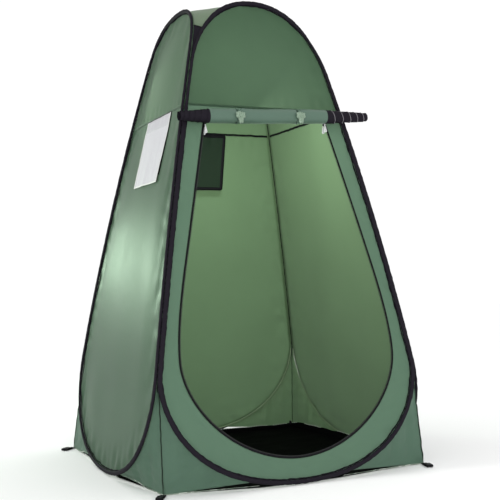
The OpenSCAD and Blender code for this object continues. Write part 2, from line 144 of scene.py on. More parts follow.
def door_half():
    """Right half of the door's outline, from the middle of its bottom to its top corner."""
    knee = np.array([DOOR_TOP_HALF + DOOR_FLARE * (DOOR_TOP - DOOR_KNEE_Z), DOOR_KNEE_Z])
    widest = np.array([DOOR_MAX_HALF, DOOR_MAX_Z])
    low = bezier(((0, DOOR_BOTTOM), (0.255, DOOR_BOTTOM + 0.004), widest - (0, 0.174), widest), 60)
    high = bezier((widest, widest + (0, 0.120), knee + (DOOR_FLARE * 0.11, -0.11), knee), 40)
    return np.concatenate([low, high[1:], [(DOOR_TOP_HALF, DOOR_TOP)]])


def mirrored(half):
    """The whole outline from a right half that runs from the bottom to the top."""
    left = half[::-1] * (-1, 1)
    return np.concatenate([half, left])


def inset(points, distance, closed=True):
    """A polyline moved to its left by distance, where left is inward on the outlines here."""
    if closed:
        ahead, behind = np.roll(points, -1, 0), np.roll(points, 1, 0)
    else:
        ahead = np.concatenate([points[1:], points[-1:]])
        behind = np.concatenate([points[:1], points[:-1]])
    t = ahead - behind
    t /= np.maximum(np.linalg.norm(t, axis=1, keepdims=True), 1e-9)
    return points + distance * np.stack([-t[:, 1], t[:, 0]], 1)


def smoothstep(x, low, high):
    t = np.clip((np.asarray(x, float) - low) / (high - low), 0, 1)
    return t * t * (3 - 2 * t)


def ripples(a, b, wavelength, seed, waves=7, stretch=1.0):
    """Smooth irregular waves over a plane, from about -1 to 1. stretch lengthens them along b."""
    rng = np.random.default_rng(seed)
    total = np.zeros(np.broadcast(a, b).shape)
    for _ in range(waves):
        turn, phase = rng.uniform(0, math.pi), rng.uniform(0, 2 * math.pi)
        k = 2 * math.pi / (wavelength * rng.uniform(0.7, 1.4))
        total += np.sin(k * (a * math.cos(turn) + b / stretch * math.sin(turn)) + phase)
    return total / math.sqrt(waves)


def edge_distance(x, z, outline):
    """Distance of each point from an outline's points."""
    flat = np.stack([np.ravel(x), np.ravel(z)], 1)
    nearest = np.full(len(flat), 9.0)
    for start in range(0, len(outline), 64):
        part = outline[start : start + 64]
        gaps = np.linalg.norm(flat[:, None] - part[None], axis=2).min(1)
        nearest = np.minimum(nearest, gaps)
    return nearest.reshape(np.shape(x))


DOOR_HALF = door_half()
DOOR_OUTLINE = mirrored(resample(DOOR_HALF, 150))
HOOPS = [mirrored(resample(hoop_half(c, HOOP_TUCK), 220)) for c in CURVES]


def billow(side, x, z):
    """How far the cloth of a wall stands out from the CAD wall at each point."""
    x, z = np.broadcast_arrays(np.asarray(x, float), np.asarray(z, float))
    rim = edge_distance(x, z, HOOPS[side])
    held = smoothstep(rim, 0.004, 0.20)
    out = 0.010 * held * np.where(z < SEAM_Z, np.sin(math.pi * np.clip(z / SEAM_Z, 0, 1)), 0.5)
    out += 0.0035 * held * ripples(x, z, 0.34, 11 + side, stretch=2.6)
    near_rim = smoothstep(rim, 0.002, 0.014) * (1 - smoothstep(rim, 0.03, 0.13))
    out += 0.0022 * near_rim * ripples(x, z, 0.085, 31 + side)
    out *= smoothstep(np.abs(z - SEAM_Z), 0.0, 0.09)
    seam_pucker = smoothstep(np.abs(z - SEAM_Z), 0.001, 0.008)
    seam_pucker *= 1 - smoothstep(np.abs(z - SEAM_Z), 0.02, 0.07)
    out += 0.0011 * seam_pucker * smoothstep(rim, 0.0, 0.03) * ripples(x, z * 0.4, 0.045, 51 + side)
    if side == FRONT:
        door = edge_distance(x, z, DOOR_OUTLINE)
        out *= smoothstep(door, 0.012, 0.06)
        tension = smoothstep(door, 0.010, 0.018) * (1 - smoothstep(door, 0.02, 0.06))
        out += 0.0009 * tension * smoothstep(rim, 0.0, 0.02) * ripples(x, z, 0.035, 71)
    return out


def turned_to(side, flat):
    """Points built for the front wall, turned about the centre axis onto another side."""
    c, s = ((1, 0), (0, 1), (-1, 0), (0, -1))[side]
    x, y = flat[..., 0], flat[..., 1]
    return np.stack([c * x - s * y, s * x + c * y, flat[..., 2]], -1)


def on_wall(side, x, z, out=0.0):
    """Points on a wall: x along it seen from outside, z up, out from the billowed cloth."""
    x, z, out = np.broadcast_arrays(*(np.asarray(v, float) for v in (x, z, out)))
    reach = wall(z) + billow(side, x, z) + out
    flat = np.stack([x, -reach, z], -1)
    return turned_to(side, flat)


# ---- Materials -------------------------------------------------------------------------
def srgb(r, g, b):
    """Linear colour from 0-255 display values."""
    def one(v):
        v /= 255
        return v / 12.92 if v <= 0.04045 else ((v + 0.055) / 1.055) ** 2.4

    return (one(r), one(g), one(b), 1.0)


def new_material(name):
    material = bpy.data.materials.new(name)
    material.use_nodes = True
    return material, material.node_tree, material.node_tree.nodes["Principled BSDF"]


def add(tree, kind, **values):
    node = tree.nodes.new(kind)
    for key, value in values.items():
        setattr(node, key, value)
    return node


def mix_colour(tree, factor, a, b, mode="MIX"):
    """A colour mix whose inputs are sockets or colours."""
    node = add(tree, "ShaderNodeMix", data_type="RGBA", blend_type=mode)
    for socket, value in ((node.inputs[0], factor), (node.inputs[6], a), (node.inputs[7], b)):
        if hasattr(value, "is_output"):
            tree.links.new(value, socket)
        else:
            socket.default_value = value
    return node.outputs[2]


def scaled(colour, k):
    return tuple(c * k for c in colour[:3]) + (1.0,)


def noise(tree, scale, detail):
    """Noise that stays with the piece."""
    node = add(tree, "ShaderNodeTexNoise")
    node.inputs["Scale"].default_value = scale
    node.inputs["Detail"].default_value = detail
    place = add(tree, "ShaderNodeTexCoord").outputs["Object"]
    tree.links.new(place, node.inputs["Vector"])
    return node.outputs["Fac"]


def surface(tree, shader, tone, uneven, roughness, height, strength, distance):
    """Join colour, uneven roughness and bump to a shader. Returns the bumped normal."""
    rough = add(tree, "ShaderNodeMapRange")
    rough.inputs["To Min"].default_value = roughness - 0.06
    rough.inputs["To Max"].default_value = roughness + 0.08
    bump = add(tree, "ShaderNodeBump")
    bump.inputs["Strength"].default_value = strength
    bump.inputs["Distance"].default_value = distance
    link = tree.links.new
    link(uneven, rough.inputs["Value"])
    link(height, bump.inputs["Height"])
    link(tone, shader.inputs["Base Color"])
    link(rough.outputs["Result"], shader.inputs["Roughness"])
    link(bump.outputs["Normal"], shader.inputs["Normal"])
    return bump.outputs["Normal"]


def cloth(name, colour, roughness=0.55, glow=None, share=0.0, thread=1.6, sheen=0.1, vary=0.08,
          gloss=0.35):
    """Woven cloth: threads both ways from the piece's own UVs in metres, slow colour variation
    and, with glow, light that passes through it."""
    material, tree, shader = new_material(name)
    link = tree.links.new
    uv = add(tree, "ShaderNodeUVMap", uv_map="cloth").outputs[0]
    threads = []
    for direction in ("X", "Y"):
        wave = add(tree, "ShaderNodeTexWave", wave_type="BANDS", bands_direction=direction)
        wave.inputs["Scale"].default_value = 3.14 / (thread * MM * 10)
        wave.inputs["Distortion"].default_value = 0.35
        wave.inputs["Detail"].default_value = 0.0
        link(uv, wave.inputs["Vector"])
        threads.append(wave.outputs["Fac"])
    weave = add(tree, "ShaderNodeMath", operation="MULTIPLY")
    link(threads[0], weave.inputs[0])
    link(threads[1], weave.inputs[1])
    slow = noise(tree, 4.0, 3.0)
    tone = mix_colour(tree, slow, scaled(colour, 1 - vary), scaled(colour, 1 + vary))
    tone = mix_colour(tree, weave.outputs[0], scaled(colour, 0.90), tone)
    height = add(tree, "ShaderNodeMath", operation="MULTIPLY_ADD")
    height.inputs[1].default_value = 0.5
    link(noise(tree, 160.0, 2.0), height.inputs[0])
    link(weave.outputs[0], height.inputs[2])
    normal = surface(tree, shader, tone, slow, roughness, height.outputs[0], 0.25, 0.0003)
    shader.inputs["Sheen Weight"].default_value = sheen
    shader.inputs["Sheen Roughness"].default_value = 0.4
    shader.inputs["Specular IOR Level"].default_value = gloss
    if glow:
        through = add(tree, "ShaderNodeBsdfTranslucent")
        link(mix_colour(tree, slow, scaled(glow, 0.92), scaled(glow, 1.08)), through.inputs["Color"])
        link(normal, through.inputs["Normal"])
        both = add(tree, "ShaderNodeMixShader")
        both.inputs[0].default_value = share
        link(shader.outputs[0], both.inputs[1])
        link(through.outputs[0], both.inputs[2])
        link(both.outputs[0], tree.nodes["Material Output"].inputs["Surface"])
    return material


def hard(name, colour, roughness, metallic=0.0, grain=220.0, depth=0.0001, vary=0.12):
    """Metal or moulded plastic with fine grain and slightly uneven colour."""
    material, tree, shader = new_material(name)
    fine = noise(tree, grain, 4.0)
    tone = mix_colour(tree, fine, scaled(colour, 1 - vary), scaled(colour, 1 + vary))
    surface(tree, shader, tone, fine, roughness, fine, 0.2, depth)
    shader.inputs["Metallic"].default_value = metallic
    return material


THROUGH = srgb(198, 218, 196)
M = {
    "upper": cloth("upper_cloth", srgb(68, 95, 74), 0.44, THROUGH, 0.38, gloss=0.15),
    "lower": cloth("lower_cloth", srgb(67, 95, 75), 0.36, THROUGH, 0.34, gloss=0.11),
    "surround": cloth("surround_cloth", srgb(104, 134, 114), 0.44, THROUGH, 0.34, gloss=0.11),
    "roof": cloth("roof_cloth", srgb(124, 138, 118), 0.48, THROUGH, 0.40),
    "inside": cloth("inner_cloth", srgb(106, 134, 96), 0.60, THROUGH, 0.36, gloss=0.15),
    "gusset": cloth("gusset_cloth", srgb(92, 120, 104), 0.48, THROUGH, 0.25, gloss=0.15),
    "roll": cloth("rolled_cloth", srgb(84, 110, 95), 0.40),
    "black": cloth("black_binding", srgb(34, 31, 38), 0.62, thread=2.2, sheen=0.0, gloss=0.04),
    "web": cloth("black_webbing", srgb(20, 20, 23), 0.6, thread=2.6, sheen=0.02, gloss=0.08),
    "seam": cloth("seam_thread", srgb(42, 54, 45), 0.6, gloss=0.05),
    # pale inner binding cloth, lightened as painted light to offset the sleeves' shadow on the low
    # inside curves
    "edge": cloth("seam_edge_painted_light", srgb(150, 172, 138), 0.6, gloss=0.1),
    "thread": cloth("white_thread", srgb(206, 214, 204), 0.6),
    "floor": cloth("floor_sheet_cloth", srgb(6, 6, 7), 0.7, thread=2.0, sheen=0.0, gloss=0.02),
    # window net, drawn opaque: black mesh, with the shaded back of the closed flap behind it given as
    # painted shade in its dark green
    "mesh": cloth("window_net_painted_shade", srgb(33, 48, 35), 0.7, thread=2.4, sheen=0.05, gloss=0.1),
    "pale": cloth("window_lining", srgb(204, 202, 208), 0.55, thread=1.8, vary=0.03, gloss=0.2),
    # sewn flap hem, its whiter tone a painted highlight along the rolled edge
    "hem_painted_highlight": cloth("window_hem_painted_highlight", srgb(218, 220, 216), 0.5, thread=1.8, vary=0.03),
    "header": cloth("window_header", srgb(190, 187, 194), 0.6, thread=3.0, vary=0.10),
    "hem": cloth("hem_tape", srgb(140, 156, 140), 0.6, thread=1.8),
    "cord": cloth("tie_cord", srgb(140, 162, 142), 0.6, thread=1.4),
    "steel": hard("spring_wire", srgb(140, 142, 146), 0.32, 1.0),
    "enamel": hard("black_enamel", srgb(34, 34, 36), 0.34, 0.6),
    "teeth": hard("zip_teeth", srgb(18, 18, 21), 0.45),
    # zip coil edges on the rolled door: a real coil, its pale grey a painted highlight
    "coil": hard("zip_coil_painted_highlight", srgb(112, 110, 114), 0.42),
    "white": hard("white_moulding", srgb(214, 216, 216), 0.38),
}


# ---- Meshes ----------------------------------------------------------------------------
def build(name, points, quads, materials, uv=None, indices=None, thickness=0.0, lining=False):
    """A smooth mesh object. With thickness it gets two faces, and with lining the inner one
    takes the second material."""
    mesh = bpy.data.meshes.new(name)
    mesh.from_pydata(np.asarray(points).reshape(-1, 3).tolist(), [], [tuple(q) for q in quads])
    for material in materials:
        mesh.materials.append(material)
    if indices is not None:
        mesh.polygons.foreach_set("material_index", np.asarray(indices, np.int32))
    mesh.polygons.foreach_set("use_smooth", np.ones(len(mesh.polygons), bool))
    if uv is not None:
        layer = mesh.uv_layers.new(name="cloth")
        corners = np.zeros(len(mesh.loops), np.int32)
        mesh.loops.foreach_get("vertex_index", corners)
        layer.data.foreach_set("uv", np.asarray(uv, np.float32).reshape(-1, 2)[corners].ravel())
    obj = bpy.data.objects.new(name, mesh)
    bpy.context.scene.collection.objects.link(obj)
    if thickness:
        solid = obj.modifiers.new("thickness", "SOLIDIFY")
        solid.thickness = thickness
        solid.offset = -1.0
        if lining:
            solid.material_offset = 1
            solid.material_offset_rim = 0
    return obj


def grid_quads(rows, cols, wrap_rows=False, wrap_cols=False, keep=None):
    """Quads of a grid, row by row. keep is a mask of the cells that stay."""
    r = np.arange(rows if wrap_rows else rows - 1)
    c = np.arange(cols if wrap_cols else cols - 1)
    r, c = (v.ravel() for v in np.meshgrid(r, c, indexing="ij"))
    r1, c1 = (r + 1) % rows, (c + 1) % cols
    quads = np.stack([r * cols + c, r * cols + c1, r1 * cols + c1, r1 * cols + c], 1)
    return quads if keep is None else quads[np.ravel(keep)]


def strip_uv(along, across):
    """UVs of a strip or tube from the distances along it and across it."""
    return np.stack(np.broadcast_arrays(np.asarray(along)[:, None], np.asarray(across)[None]), -1)


def grid_uv(points):
    """UVs in metres along a grid's rows and columns."""
    points = np.asarray(points)
    along = np.linalg.norm(np.diff(points, axis=1), axis=2)
    u = np.concatenate([np.zeros((len(points), 1)), np.cumsum(along, 1)], 1)
    u -= u[:, -1:] / 2
    down = np.linalg.norm(np.diff(points[:, points.shape[1] // 2], axis=0), axis=1)
    v = np.broadcast_to(np.r_[0, np.cumsum(down)][:, None], u.shape)
    return np.stack([u, v], -1)


def grid(name, points, materials, thickness=0.0, lining=False, keep=None, flip=False, **wrap):
    rows, cols = points.shape[:2]
    quads = grid_quads(rows, cols, keep=keep, **wrap)
    if flip:
        quads = quads[:, ::-1]
    return build(name, points, quads, materials, grid_uv(points), None, thickness, lining)


def area_of(points, keep=None):
    """Area of a grid of points."""
    p = np.asarray(points, float)
    a, b, c, d = p[:-1, :-1], p[:-1, 1:], p[1:, 1:], p[1:, :-1]
    cells = (np.linalg.norm(np.cross(b - a, c - a), axis=-1)
             + np.linalg.norm(np.cross(c - a, d - a), axis=-1)) / 2
    return float(cells.sum() if keep is None else cells[keep].sum())


def declare(obj, body, nodes, points=None, keep=None):
    """Rides the piece and hides the CAD parts it stands for. The cut it works out from points and keep
    is not kept.
    """
    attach(obj, body)
    if nodes:
        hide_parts(*([nodes] if isinstance(nodes, str) else nodes))
    if points is not None:
        p = np.asarray(points)
        across = np.linalg.norm(np.diff(p, axis=1), axis=2).sum(1).max()
        down = np.linalg.norm(np.diff(p, axis=0), axis=2).sum(0).max()
        area = min(area_of(p, keep), across * down)
        if area < 0.31 * across * down:
            down = area / (0.31 * across)
    return obj


def tube_rings(path, outward, shape, n):
    """Rings round a path. shape(i, angle) gives (across, out) of each point; outward is the
    direction of "out" at each path point."""
    tangent = np.gradient(path, axis=0)
    tangent /= np.linalg.norm(tangent, axis=1, keepdims=True)
    across = np.cross(tangent, outward)
    across /= np.linalg.norm(across, axis=1, keepdims=True)
    out = np.cross(across, tangent)
    angle = np.linspace(0, 2 * math.pi, n, endpoint=False)
    a, o = shape(np.arange(len(path))[:, None], angle[None, :])
    return path[:, None] + across[:, None] * a[..., None] + out[:, None] * o[..., None]


def ribbon(outline_in, outline_out, side, out, thick, rows=3, taper=0.35):
    """Closed strip between two outlines on a wall: rounded edges, thick at the middle."""
    layers = []
    steps = np.r_[np.linspace(0, 1, rows), np.linspace(1, 0, rows)]
    rise = np.r_[np.full(rows, 1.0), np.full(rows, 0.0)]
    for t, up in zip(steps, rise):
        edge = 1 - taper * (abs(2 * t - 1) ** 4)
        level = out + (thick / 2) * (1 + (edge if up else -edge)) - thick / 2
        p = outline_in + (outline_out - outline_in) * t
        layers.append(on_wall(side, p[:, 0], p[:, 1], level))
    return np.stack(layers, 1)


# ---- Walls -----------------------------------------------------------------------------
PANEL_TUCK = 0.0015
COLUMNS = 72
WINDOW_X = (WINDOW_SHIFT - WINDOW_W / 2, WINDOW_SHIFT + WINDOW_W / 2)
FLAP_Z = (SEAM_Z - 0.006 - FLAP_H, SEAM_Z - 0.006)
WINDOW_Z = (FLAP_Z[0] + FLAP_LAP, FLAP_Z[1])
WINDOW_HEM = 0.008


def panel_rows(side, upper):
    """[half width, height] of each row of a wall panel."""
    half = hoop_half(CURVES[side], PANEL_TUCK)
    cut = np.array([[wall(SEAM_Z) - PANEL_TUCK, SEAM_Z]])
    if upper:
        return resample(np.concatenate([cut, half[half[:, 1] > SEAM_Z]]), 70)
    low = half[half[:, 1] < SEAM_Z]
    return resample(np.concatenate([low, cut]), 150)


def upper_panel(side):
    rows = panel_rows(side, True)
    x = rows[:, :1] * np.linspace(-1, 1, COLUMNS + 1)[None]
    z = np.repeat(rows[:, 1:], COLUMNS + 1, 1)
    flat = np.stack([x, np.zeros_like(x), z], -1)
    points = on_wall(side, x, z)
    name = SIDES[side] + "_upper_cloth"
    obj = grid(name, points, [M["upper"], M["inside"]], 0.0008, True)
    declare(obj, "tent", SIDES[side] + "_upper_panel", flat)


def lower_panel(side, window):
    rows = panel_rows(side, False)
    hole_x = (WINDOW_X[0] + WINDOW_HEM, WINDOW_X[1] - WINDOW_HEM)
    hole_z = (WINDOW_Z[0] + WINDOW_HEM, WINDOW_Z[1] - WINDOW_HEM)
    if window:
        for level in hole_z:
            rows[np.argmin(np.abs(rows[:, 1] - level)), 1] = level
        rows[:, 0] = np.where(rows[:, 1] > JOIN_LOW, wall(rows[:, 1]) - PANEL_TUCK, rows[:, 0])
    even = np.linspace(-1, 1, COLUMNS + 1)
    x = rows[:, :1] * even[None]
    keep = None
    if window:
        first, last = 28, 57
        lines = np.concatenate([
            np.linspace(-1, 0, first + 1)[:, None] * (rows[:, 0] + hole_x[0])[None] + hole_x[0],
            np.linspace(hole_x[0], hole_x[1], last - first + 1)[1:-1, None] + 0 * rows[:, 0][None],
            np.linspace(0, 1, COLUMNS - last + 1)[:, None] * (rows[:, 0] - hole_x[1])[None] + hole_x[1],
        ]).T
        mix = smoothstep(rows[:, 1], 0.55, hole_z[0] - 0.05)[:, None]
        x = x * (1 - mix) + lines * mix
        middle_z = (rows[1:, 1] + rows[:-1, 1]) / 2
        inside_z = (middle_z > hole_z[0]) & (middle_z < hole_z[1])
        cells = np.arange(COLUMNS)
        keep = ~(inside_z[:, None] & ((cells >= first) & (cells < last))[None])
    z = np.repeat(rows[:, 1:], COLUMNS + 1, 1)
    flat = np.stack([x, np.zeros_like(x), z], -1)
    points = on_wall(side, x, z)
    obj = grid(SIDES[side] + "_lower_cloth", points, [M["lower"], M["inside"]], 0.0008, True, keep)
    declare(obj, "tent", SIDES[side] + "_lower_panel", flat, keep=keep)


def door_surround():
    """The front cloth round the door: a closed ring from the door's edge to the hoop."""
    door = DOOR_HALF[:-1]
    corner = DOOR_HALF[-1]
    hoop = hoop_half(FRONT_CURVE, PANEL_TUCK)
    low = hoop[hoop[:, 1] < SEAM_Z]
    seam_corner = np.array([wall(SEAM_Z) - PANEL_TUCK, SEAM_Z])
    inner = resample(np.concatenate([door, [corner]]), 170)
    outer = resample(np.concatenate([low, [seam_corner]]), 170)
    top = np.linspace(1, 0, 40)[1:, None]
    inner = np.concatenate([inner, corner * (1, 0) * top + (0, DOOR_TOP)])
    outer = np.concatenate([outer, seam_corner * (1, 0) * top + (0, SEAM_Z)])
    inner = np.concatenate([inner, inner[-2:0:-1] * (-1, 1)])
    outer = np.concatenate([outer, outer[-2:0:-1] * (-1, 1)])
    t = np.linspace(0, 1, 22)[None, :, None]
    p = inner[:, None] * (1 - t) + outer[:, None] * t
    points = on_wall(FRONT, p[..., 0], p[..., 1])
    quads = grid_quads(*p.shape[:2], wrap_rows=True)
    uv = np.stack([p[..., 0], p[..., 1]], -1)
    obj = build("door_surround_cloth", points, quads, [M["surround"], M["inside"]], uv,
                None, 0.0008, True)
    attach(obj, "tent")
    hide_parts("door_surround")


for wall_side in range(4):
    upper_panel(wall_side)
lower_panel(RIGHT, False)
lower_panel(BACK, True)
lower_panel(LEFT, True)
door_surround()


# ---- Hoops' sleeves --------------------------------------------------------------------
def sleeve(side):
    """Bunched cloth tube over the wire, with its sewn flange and the binding inside. Low down the inner
    binding is pale: painted light that offsets the sleeve's shadow inside.
    """
    plan = resample(np.concatenate([[(0, HOOP_LOW)], mirrored(hoop_half(CURVES[side], HOOP_TUCK)),
                                    [(0, HOOP_LOW)]]), 760)
    path = np.stack([plan[:, 0], -(wall(plan[:, 1]) + HOOP_OUT), plan[:, 1]], 1)
    lean = np.stack([np.zeros(len(plan)), -np.ones(len(plan)), -wall_slope(plan[:, 1])], 1)
    lean[:, 2] *= -1
    lean /= np.linalg.norm(lean, axis=1, keepdims=True)
    run = lengths(path)
    n = 14
    slim = 1 - 0.38 * smoothstep(plan[:, 1], 1.36, 1.46) * (1 - smoothstep(plan[:, 1], 1.72, 1.84))

    def bunched(i, angle):
        s = run[i]
        puff = 0.055 * ripples(s, angle * 0.012, 0.030, 5 + side, stretch=1.2)
        puff += 0.035 * ripples(s + 0.004 * np.sin(angle), angle * 0.01, 0.011, 15 + side)
        grow = 0.94 + puff
        square = 0.86 + 0.14 * np.abs(np.sin(2 * angle))
        return (SLEEVE_W / 2 * slim[i] * np.cos(angle) * grow * square,
                np.maximum(SLEEVE_T / 2 * np.sin(angle) * grow * square, -SLEEVE_T / 2))

    rings = tube_rings(path, lean, bunched, n)
    quads = [grid_quads(len(path), n, wrap_cols=True)[:, ::-1]]
    uv = [strip_uv(run, np.linspace(0, 0.05, n))]
    points, start = [rings.reshape(-1, 3)], len(path) * n
    kinds = [np.zeros(len(quads[0]), int)]
    for kind, offset, width, out, thick, seed in ((0, 0.0075, 0.0050, 0.0012, 0.0012, 3),
                                                  (1, -0.001, 0.0060, -0.0026, 0.0014, 4)):
        edge = inset(plan, offset, closed=False)
        wobble = 0.0008 * ripples(run, 0 * run, 0.02, 80 + seed + side)
        inner = inset(plan, offset + width, closed=False)
        inner = inner + (inner - edge) / width * wobble[:, None]
        edge, inner = (plan + (line - plan) * slim[:, None] for line in (edge, inner))
        local = np.stack([edge, (edge + inner) / 2, inner, (edge + inner) / 2], 1)
        level = np.array([out, out + thick / 2, out, out - thick / 2])[None]
        strip = np.stack([local[..., 0], -(wall(local[..., 1]) + level
                          + billow(side, local[..., 0], local[..., 1])), local[..., 1]], -1)
        points.append(strip.reshape(-1, 3))
        quads.append(grid_quads(len(plan), 4, wrap_cols=True)[:, ::-1] + start)
        # below 0.40 m the inner binding takes the pale edge cloth: painted light against the sleeve's
        # shadow
        low = plan[(quads[-1][:, 0] - start) // 4, 1] < 0.40
        kinds.append(np.where(low, kind, 2 * kind))
        uv.append(strip_uv(run, [0, 0.005, 0.01, 0.005]))
        start += len(plan) * 4
    turned = turned_to(side, np.concatenate(points))
    uv = np.concatenate([u.reshape(-1, 2) for u in uv])
    obj = build(SIDES[side] + "_sleeve_cloth", turned, np.concatenate(quads),
                [M["black"], M["edge"], M["inside"]], uv, np.concatenate(kinds))
    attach(obj, "tent")
    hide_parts(SIDES[side] + "_sleeve")


for wall_side in range(4):
    sleeve(wall_side)
for hoop_name in [s + "_hoop" for s in SIDES] + ["hoop_ferrules"]:
    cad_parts[hoop_name].data.materials.clear()
    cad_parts[hoop_name].data.materials.append(M["steel"])


# ---- Roof, corner patches and ground gussets -------------------------------------------
SHEET_IN = 0.0018
SEEN_CORNER = 2
PATCH_END = 0.45


def corner_point(corner, across_y, p):
    """A hoop point [half width, height] at a corner, on the wall across Y or across X."""
    sx, sy = SIGNS[corner]
    reach = wall(p[:, 1]) - SHEET_IN
    if across_y:
        return np.stack([sx * p[:, 0], sy * reach, p[:, 1]], 1)
    return np.stack([sx * reach, sy * p[:, 0], p[:, 1]], 1)


def arches(corner, n, start, end):
    """Matching points up the two arches that meet at a corner."""
    t = np.linspace(start, end, n) * 79
    found = []
    side_curve = RIGHT_CURVE if SIGNS[corner][0] > 0 else LEFT_CURVE
    for curve, across_y in ((FRONT_CURVE, True), (side_curve, False)):
        over = hoop_over(curve, HOOP_TUCK)
        p = np.stack([np.interp(t, np.arange(80), over[:, k]) for k in range(2)], 1)
        found.append(corner_point(corner, across_y, p))
    return found


def corner_patch(corner):
    a, b = arches(corner, 40, 0.04, PATCH_END)
    t = np.linspace(0, 1, 9)[None, :, None]
    points = a[:, None] * (1 - t) + b[:, None] * t
    sx, sy = SIGNS[corner]
    dip = 0.003 * np.sin(math.pi * t) * np.linspace(0, 1, 40)[:, None, None]
    points = points + dip * np.array([-sx, -sy, 0.0])
    flip = sx * sy > 0
    name = CORNERS[corner]
    obj = grid("corner_patch_cloth_" + name, points, [M["black"]], 0.0008, flip=flip)
    declare(obj, "tent", "corner_patch_" + name, points)


def roof_height():
    """A tree of the taut roof: ruled from arch to arch in each corner, flat in the middle."""
    verts, faces = [], []
    for corner in range(4):
        a, b = arches(corner, 24, PATCH_END, 1.0)
        start = len(verts)
        u = np.linspace(-0.02, 1.02, 9)[:, None]
        for k in range(24):
            verts += (a[k] * (1 - u) + b[k] * u).tolist()
        faces += [tuple(int(v) + start for v in q) for q in grid_quads(24, 9)]
        middle = len(verts)
        verts += [a[-1].tolist(), b[-1].tolist(), [0.0, 0.0, float(a[-1][2] + b[-1][2]) / 2]]
        faces.append((middle, middle + 1, middle + 2))
    return BVHTree.FromPolygons(verts, faces)


def roof():
    """One sheet over all four arches, drawn taut between them."""
    rim = []
    n = 34
    for corner in range(4):
        a, b = arches(corner, n, PATCH_END, 1.0)
        first, second = (b, a) if corner in (0, 2) else (a, b)
        chord = np.linspace(first[0], second[0], 7)
        rim += [first[::-1][:-1], chord[:-1], second[:-1]]
    rim = np.concatenate(rim)
    count = len(rim)
    rings = 30
    centre = np.array([0.0, 0.0, rim[:, 2].max()])
    r = np.linspace(1, 0.02, rings)[:, None, None]
    points = centre + (rim[None] - centre) * r
    tree = roof_height()
    down = Vector((0, 0, -1))
    for row in points[1:]:
        for p in row:
            hit = tree.ray_cast(Vector((p[0], p[1], 3.0)), down)[0]
            if hit:
                p[2] = hit[2]
    for _ in range(6):
        points[1:-1, :, 2] = (points[:-2, :, 2] + points[2:, :, 2]
                              + 2 * points[1:-1, :, 2]) / 4
    inner = np.linspace(0, 1, rings)[:, None]
    around = np.arange(count)[None] / count
    crease = ripples(points[..., 0], points[..., 1], 0.09, 91) * 0.0010
    crease *= smoothstep(inner, 0.0, 0.12) + 0 * around
    points[..., 2] += crease
    quads = grid_quads(rings, count, wrap_cols=True)
    middle = len(points.reshape(-1, 3))
    flat_points = np.concatenate([points.reshape(-1, 3), [points[-1].mean(0)]])
    last = (rings - 1) * count + np.arange(count)
    fan = [(int(a), int(b), middle) for a, b in zip(last, np.roll(last, -1))]
    faces = [tuple(q) for q in quads] + fan
    obj = build("roof_cloth", flat_points, faces, [M["roof"], M["inside"]], flat_points[:, :2],
                None, 0.0008, True)
    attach(obj, "tent")
    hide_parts("roof_panel")
    return obj


def gusset(corner):
    """Cloth from the low sides of two hoops down to the ground corner, with a sewn hem."""
    sx, sy = SIGNS[corner]
    rows, half = 70, 26
    join = np.array([sx * (wall(JOIN_LOW) - SHEET_IN), sy * (wall(JOIN_LOW) - SHEET_IN), JOIN_LOW])
    ground = np.array([*GROUND[corner], 0.0005])
    down = np.linspace(0, 1, rows)
    seam = join + (ground - join) * (0.010 + 0.990 * down)[:, None]
    edges = []
    for curve, across_y in ((FRONT_CURVE, True), (LEFT_CURVE, False)):
        under = hoop_under(curve, PANEL_TUCK)
        t = (0.97 + (0.14 - 0.97) * down) * 79
        p = np.stack([np.interp(t, np.arange(80), under[:, k]) for k in range(2)], 1)
        edges.append(corner_point(corner, across_y, p))
    t = np.linspace(0, 1, half)[None, :, None]
    one = edges[0][:, None] * (1 - t) + seam[:, None] * t
    two = seam[:, None] * (1 - t) + edges[1][:, None] * t
    points = np.concatenate([one, two[:, 1:]], 1)
    flat = points.copy()
    across = np.concatenate([np.linspace(0, 1, half), np.linspace(1, 0, half)[1:]])[None]
    middle = np.sin(math.pi * np.concatenate([np.linspace(0, 1, half),
                                              np.linspace(0, 1, half)[1:]]))[None]
    low = down[:, None]
    width = np.linalg.norm(points - seam[:, None], axis=2)
    folds = np.sin(width * 2 * math.pi / 0.085 + 2.2 * low + corner)
    folds += 0.5 * np.sin(width * 2 * math.pi / 0.047 - 3.0 * low + 2 * corner)
    sag = 0.010 * middle * low + 0.0035 * folds * middle * smoothstep(low, 0.15, 0.8)
    sag += 0.0014 * ripples(width, low * 0.4, 0.05, 60 + corner) * smoothstep(across, 0.0, 0.1)
    sag *= smoothstep(across, 0.0, 0.12) * (1 - 0.6 * smoothstep(low, 0.93, 1.0))
    inward = np.array([-sx, -sy, 0.0]) / math.sqrt(2)
    points = points + np.maximum(sag, -0.004)[..., None] * inward
    name = CORNERS[corner]
    flip = sx * sy < 0
    obj = grid("ground_gusset_cloth_" + name, points, [M["gusset"], M["inside"]], 0.0008, True,
               flip=flip)
    declare(obj, "tent", "ground_gusset_" + name, flat)
    fall = 0.6 * points[-1, :, 2] * np.ones((rows, 1)) * smoothstep(low, 0.7, 1.0)
    points[..., 2] -= fall
    part = (np.arange(points.shape[1]) - (half - 1)) / (half - 1)
    curl = np.where(part > 0, smoothstep(part, 0.30, 0.62) * (1 - smoothstep(part, 0.80, 1.0)), 0)
    points[..., 2] += 0.016 * curl[None] * smoothstep(low, 0.8, 1.0)
    points += (0.004 * curl[None] * smoothstep(low, 0.85, 1.0))[..., None] * -inward
    hem_strip("hem_" + name, points[-4:], inward)
    seam_cord("corner_seam_" + name, points[:, half - 1], inward)
    if corner == SEEN_CORNER:
        seam_knot("seam_knot_" + name, points[-1, half - 1] + inward * 0.034)


